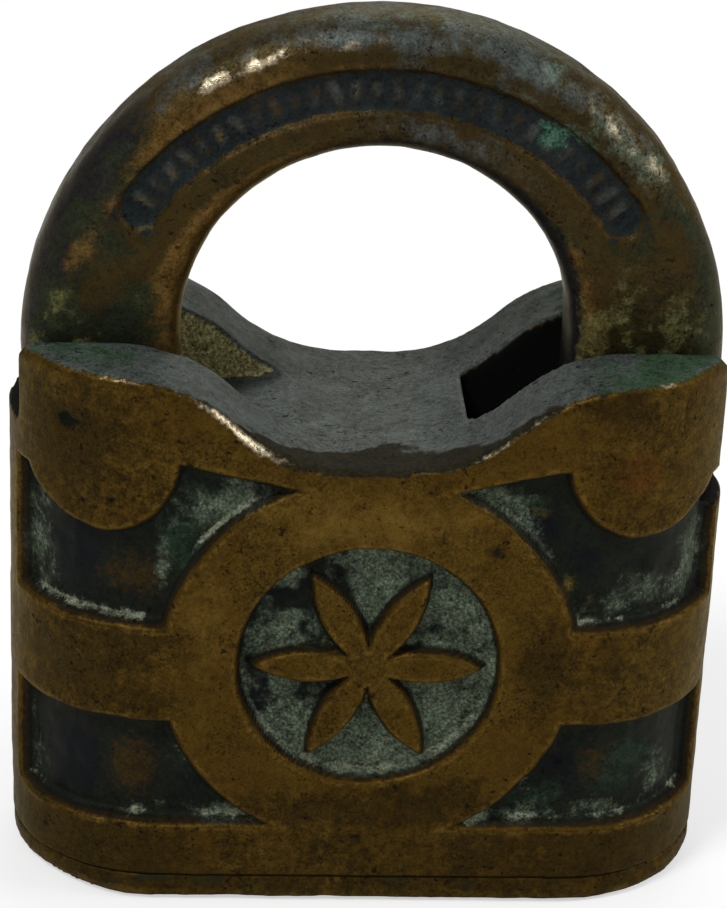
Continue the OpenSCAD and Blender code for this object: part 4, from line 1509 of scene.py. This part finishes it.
@dataclass
class BasePlate:
    """The base plate with its worn lower edge. Sizes in millimetres."""

    cell: float = 0.42
    half_depth: float = 12.32
    end_x: float = 16.5
    thick: float = 2.5

    def build(self, node: bpy.types.Object, groups: Groups) -> bpy.types.Object:
        """Makes the plate.

        Args:
            node: The frame's node, which is copied.
            groups: The shared effects.

        Returns:
            The finished piece.
        """
        thing = MeshTools.copy_node("base_plate_worn", node)
        MeshTools.even(thing, self.cell)
        mesh = thing.data
        p, n = MeshTools.points(mesh), MeshTools.normals(mesh)
        x, y, z = p.T
        dx = x - np.clip(x, -self.end_x, self.end_x)
        r = np.maximum(np.hypot(dx, y), 1e-6)
        rim = (r > self.half_depth - 1.4) & ((n[:, 0] * dx + n[:, 1] * y) / r > 0.15)
        wear = 0.07 + 0.07 * rough_grain(p, 4.5, 91) + 0.04 * rough_grain(p, 1.4, 97, 2)
        wear += 0.35 * bump(np.hypot(x + 24.5, (z - 0.5) * 2.0), 0.0, 3.0) * (y < 0)
        wear = np.where(rim, np.maximum(wear, 0.0), 0.0)
        q = p - n * wear[:, None]
        q[:, 2] = np.clip(q[:, 2], 0.0, self.thick)
        MeshTools.move(mesh, q)
        cloud = rough_grain(p, 6.0, 101)
        MeshTools.paint(mesh, {
            "seam": smooth(z, 2.36, 2.49) * rim * 0.55,
            "under": smooth(-n[:, 2], 0.3, 0.8) * (0.5 + 0.4 * cloud),
            # The stain darkens the plate's whole rim, partly as painted shade low on the lock and partly as
            # blotchy staining
            "moss": rim * smooth(cloud, 0.1, 0.6) * 0.5, "stain": rim * (0.62 + 0.3 * cloud),
            "crest": rim * bump(z, 0.75, 0.5) * (0.4 + 0.5 * cloud)})
        finish = CastFinish("bronze_plate", BROWN, BROWN_DARK, BROWN_WARM, (
            Layer("under", SLATE_DARK, linear(46, 40, 26), 0.5, 0.35, 0.5, 0.7, 0.8),
            STAIN_AND_SHADE,
            Layer("moss", MOSS_DARK, DEEP_GREEN, 0.6, 0.1, 0.6, 0.8, 0.7),
            Layer("crest", linear(96, 74, 30), BROWN, 0.36, 0.85, 0.6, 1.0, 0.6),
            Layer("seam", SOOT_AND_SHADE, SOOT_AND_SHADE, 0.8, 0.0, 0.5, 1.0, 0.7)))
        MeshTools.finish(thing, finish.build(groups), "case", "cast_bronze", "base_plate")
        return thing


@dataclass
class HingePin:
    """The hinge pin, which ends just under the dressed skin of the lobes. Sizes in millimetres."""

    radius: float = 2.6
    x: float = 21.55
    z: float = 39.74
    reach: float = 8.7

    def build(self, material: bpy.types.Material) -> bpy.types.Object:
        """Makes the pin.

        Args:
            material: Its finish.

        Returns:
            The finished piece.
        """
        thing = MeshTools.rod("hinge_pin_turned", self.radius, (self.x, -self.reach, self.z),
                              (self.x, self.reach, self.z), 0.3, 64)
        MeshTools.finish(thing, material, "case", "bronze_pin", "hinge_pin")
        return thing


# ------------------------------------------------------------------ the works inside


@dataclass
class LockWorks:
    """The machined pieces inside the case, which keep the frame's own shapes."""

    finishes: Dict[Works, Tuple[str, ...]] = field(default_factory=lambda: {
        Works.BRASS: ("cylinder_shell", "chamber_strip", "locking_bolt", "bolt_keeper"),
        Works.PLUG: ("cylinder_plug",),
        Works.RIVET: ("base_rivet_left", "base_rivet_right"),
        Works.PINS: tuple(f"{kind}_pin_{i}" for kind in ("key", "driver") for i in range(1, 6)),
        Works.SPRING: tuple(f"pin_spring_{i}" for i in range(1, 6)),
        Works.STEEL: ("shell_dowel", "drive_cam", "cam_screw_front", "cam_screw_back", "drive_pin",
                      "keeper_screw_front", "keeper_screw_back"),
    })

    def materials(self, groups: Groups) -> Dict[Works, bpy.types.Material]:
        """Makes the finishes.

        Args:
            groups: The shared effects.

        Returns:
            Each finish by its kind.
        """
        kinds = {
            Works.BRASS: WorkFinish("machined_brass", linear(190, 158, 92), linear(110, 84, 38), 0.34, 0.9),
            Works.PLUG: WorkFinish("plug_brass", linear(118, 92, 44), linear(46, 34, 15), 0.42, 0.85,
                                   (6.0, 6.0, 1.0)),
            Works.RIVET: WorkFinish("rivet_brass", linear(104, 80, 36), linear(42, 31, 13), 0.42, 0.85,
                                    (5.0, 5.0, 1.0)),
            Works.PINS: WorkFinish("pin_brass", linear(198, 168, 104), linear(128, 98, 48), 0.3, 0.95),
            Works.SPRING: WorkFinish("spring_wire", linear(186, 140, 96), linear(104, 70, 40), 0.32, 0.95),
            Works.STEEL: WorkFinish("dark_steel", linear(140, 138, 132), linear(74, 68, 60), 0.36, 0.95),
            Works.PIN: WorkFinish("bronze_pin", linear(140, 100, 52), linear(70, 50, 20), 0.36, 0.8),
        }
        return {name: kind.build(groups) for name, kind in kinds.items()}

    def build(self, nodes: Dict[str, bpy.types.Object], made: Dict[Works, bpy.types.Material]) -> None:
        """Dresses the nodes.

        Args:
            nodes: The frame's nodes.
            made: The finishes.
        """
        for kind, names in self.finishes.items():
            for name in names:
                mesh = nodes[name].data
                if not mesh.materials:
                    mesh.materials.append(made[kind])
                for place in range(len(mesh.materials)):
                    mesh.materials[place] = made[kind]
                log.info("%s: %s finish", name, kind.value)


# ------------------------------------------------------------------ studio


@dataclass
class Studio:
    """Camera, lamps, floor and surroundings."""

    azimuth: float = -3.65
    elevation: float = 25.0
    roll: float = 2.54
    distance: float = 0.250
    aim: Tuple[float, float, float] = (-0.00035, 0.0, 0.03485)
    lens: float = 122.43
    sky: float = 0.5
    lamps: Tuple[Tuple[str, Tuple[float, float, float], float, float], ...] = (
        ("key", (-0.31, -0.33, 0.69), 0.18, 3.6),
        ("side", (0.66, -0.08, 0.42), 0.26, 2.2),
        ("back", (0.10, 0.55, 0.55), 0.45, 1.6))

    def camera(self) -> None:
        """Places the camera."""
        a, e, roll = (math.radians(v) for v in (self.azimuth, self.elevation, self.roll))
        back = Vector((math.sin(a) * math.cos(e), -math.cos(a) * math.cos(e), math.sin(e)))
        right = Vector((math.cos(a), math.sin(a), 0.0))
        up = back.cross(right)
        turned = math.cos(roll) * right + math.sin(roll) * up
        raised = -math.sin(roll) * right + math.cos(roll) * up
        data = bpy.data.cameras.new("camera")
        data.lens = self.lens
        data.sensor_width = 36.0
        data.sensor_fit = "AUTO"
        data.clip_start = 0.005
        data.clip_end = 10.0
        thing = bpy.data.objects.new("camera", data)
        place = Vector(self.aim) + back * self.distance
        turn = Matrix((turned, raised, back)).transposed().to_4x4()
        thing.matrix_world = Matrix.Translation(place) @ turn
        bpy.context.scene.collection.objects.link(thing)
        bpy.context.scene.camera = thing

    def lamp(self, name: str, place: Sequence[float], size: float, power: float,
             target: Sequence[float] = (0.0, 0.0, 0.035)) -> None:
        """Hangs a soft square lamp.

        Args:
            name: Its name.
            place: Where it hangs, in metres.
            size: Its side, in metres.
            power: Its power, in watts.
            target: What it points at.
        """
        data = bpy.data.lights.new(name, "AREA")
        data.shape = "SQUARE"
        data.size = size
        data.energy = power
        thing = bpy.data.objects.new(name, data)
        thing.location = place
        aim = Vector(target) - Vector(place)
        thing.rotation_euler = aim.to_track_quat("-Z", "Y").to_euler()
        bpy.context.scene.collection.objects.link(thing)

    def floor(self) -> None:
        """Lays the pale floor."""
        bm = bmesh.new()
        bmesh.ops.create_grid(bm, x_segments=1, y_segments=1, size=3.0)
        thing = MeshTools.link("floor", bm)
        material, graph = Graph.material("floor_pale")
        matt = graph.add("ShaderNodeBsdfDiffuse")
        graph.set(matt, Color=(0.84, 0.84, 0.84, 1.0))
        glow = graph.add("ShaderNodeEmission")
        graph.set(glow, Strength=1.0)
        seen = graph.add("ShaderNodeLightPath")
        share = graph.math("MULTIPLY", seen.outputs["Is Camera Ray"], 0.55)
        mix = graph.add("ShaderNodeMixShader")
        for place, value in enumerate((share, matt.outputs[0], glow.outputs[0])):
            graph.feed(mix.inputs[place], value)
        graph.end("ShaderNodeOutputMaterial", mix.outputs[0])
        thing.data.materials.append(material)

    def world(self) -> None:
        """Sets plain surroundings: white to the camera, a soft grey to the object."""
        world = bpy.data.worlds.new("studio")
        bpy.context.scene.world = world
        world.use_nodes = True
        world.node_tree.nodes.clear()
        graph = Graph(world.node_tree)
        seen = graph.add("ShaderNodeLightPath")
        strength = graph.level(seen.outputs["Is Camera Ray"], self.sky, 1.0)
        back = graph.add("ShaderNodeBackground")
        graph.set(back, Color=(1.0, 1.0, 1.0, 1.0))
        graph.feed(back.inputs["Strength"], strength)
        graph.end("ShaderNodeOutputWorld", back.outputs[0])

    def build(self) -> None:
        """Sets up the whole studio."""
        self.camera()
        self.floor()
        self.world()
        for name, place, size, power in self.lamps:
            self.lamp(name, place, size, power)
        bpy.context.scene.view_settings.view_transform = "Standard"


# ------------------------------------------------------------------ all together


def main() -> None:
    """Builds the padlock and its studio."""
    logging.basicConfig(level=logging.INFO, format="%(name)s %(message)s")
    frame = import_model()
    nodes = frame["nodes"]
    groups = Groups()
    Studio().build()
    works = LockWorks()
    made = works.materials(groups)
    works.build(nodes, made)
    HingePin().build(made[Works.PIN])
    BasePlate().build(nodes["base_plate"], groups)
    CaseCasting().build(groups)
    ShackleCasting().build(nodes["shackle"], groups)


if __name__ == "__main__":
    main()
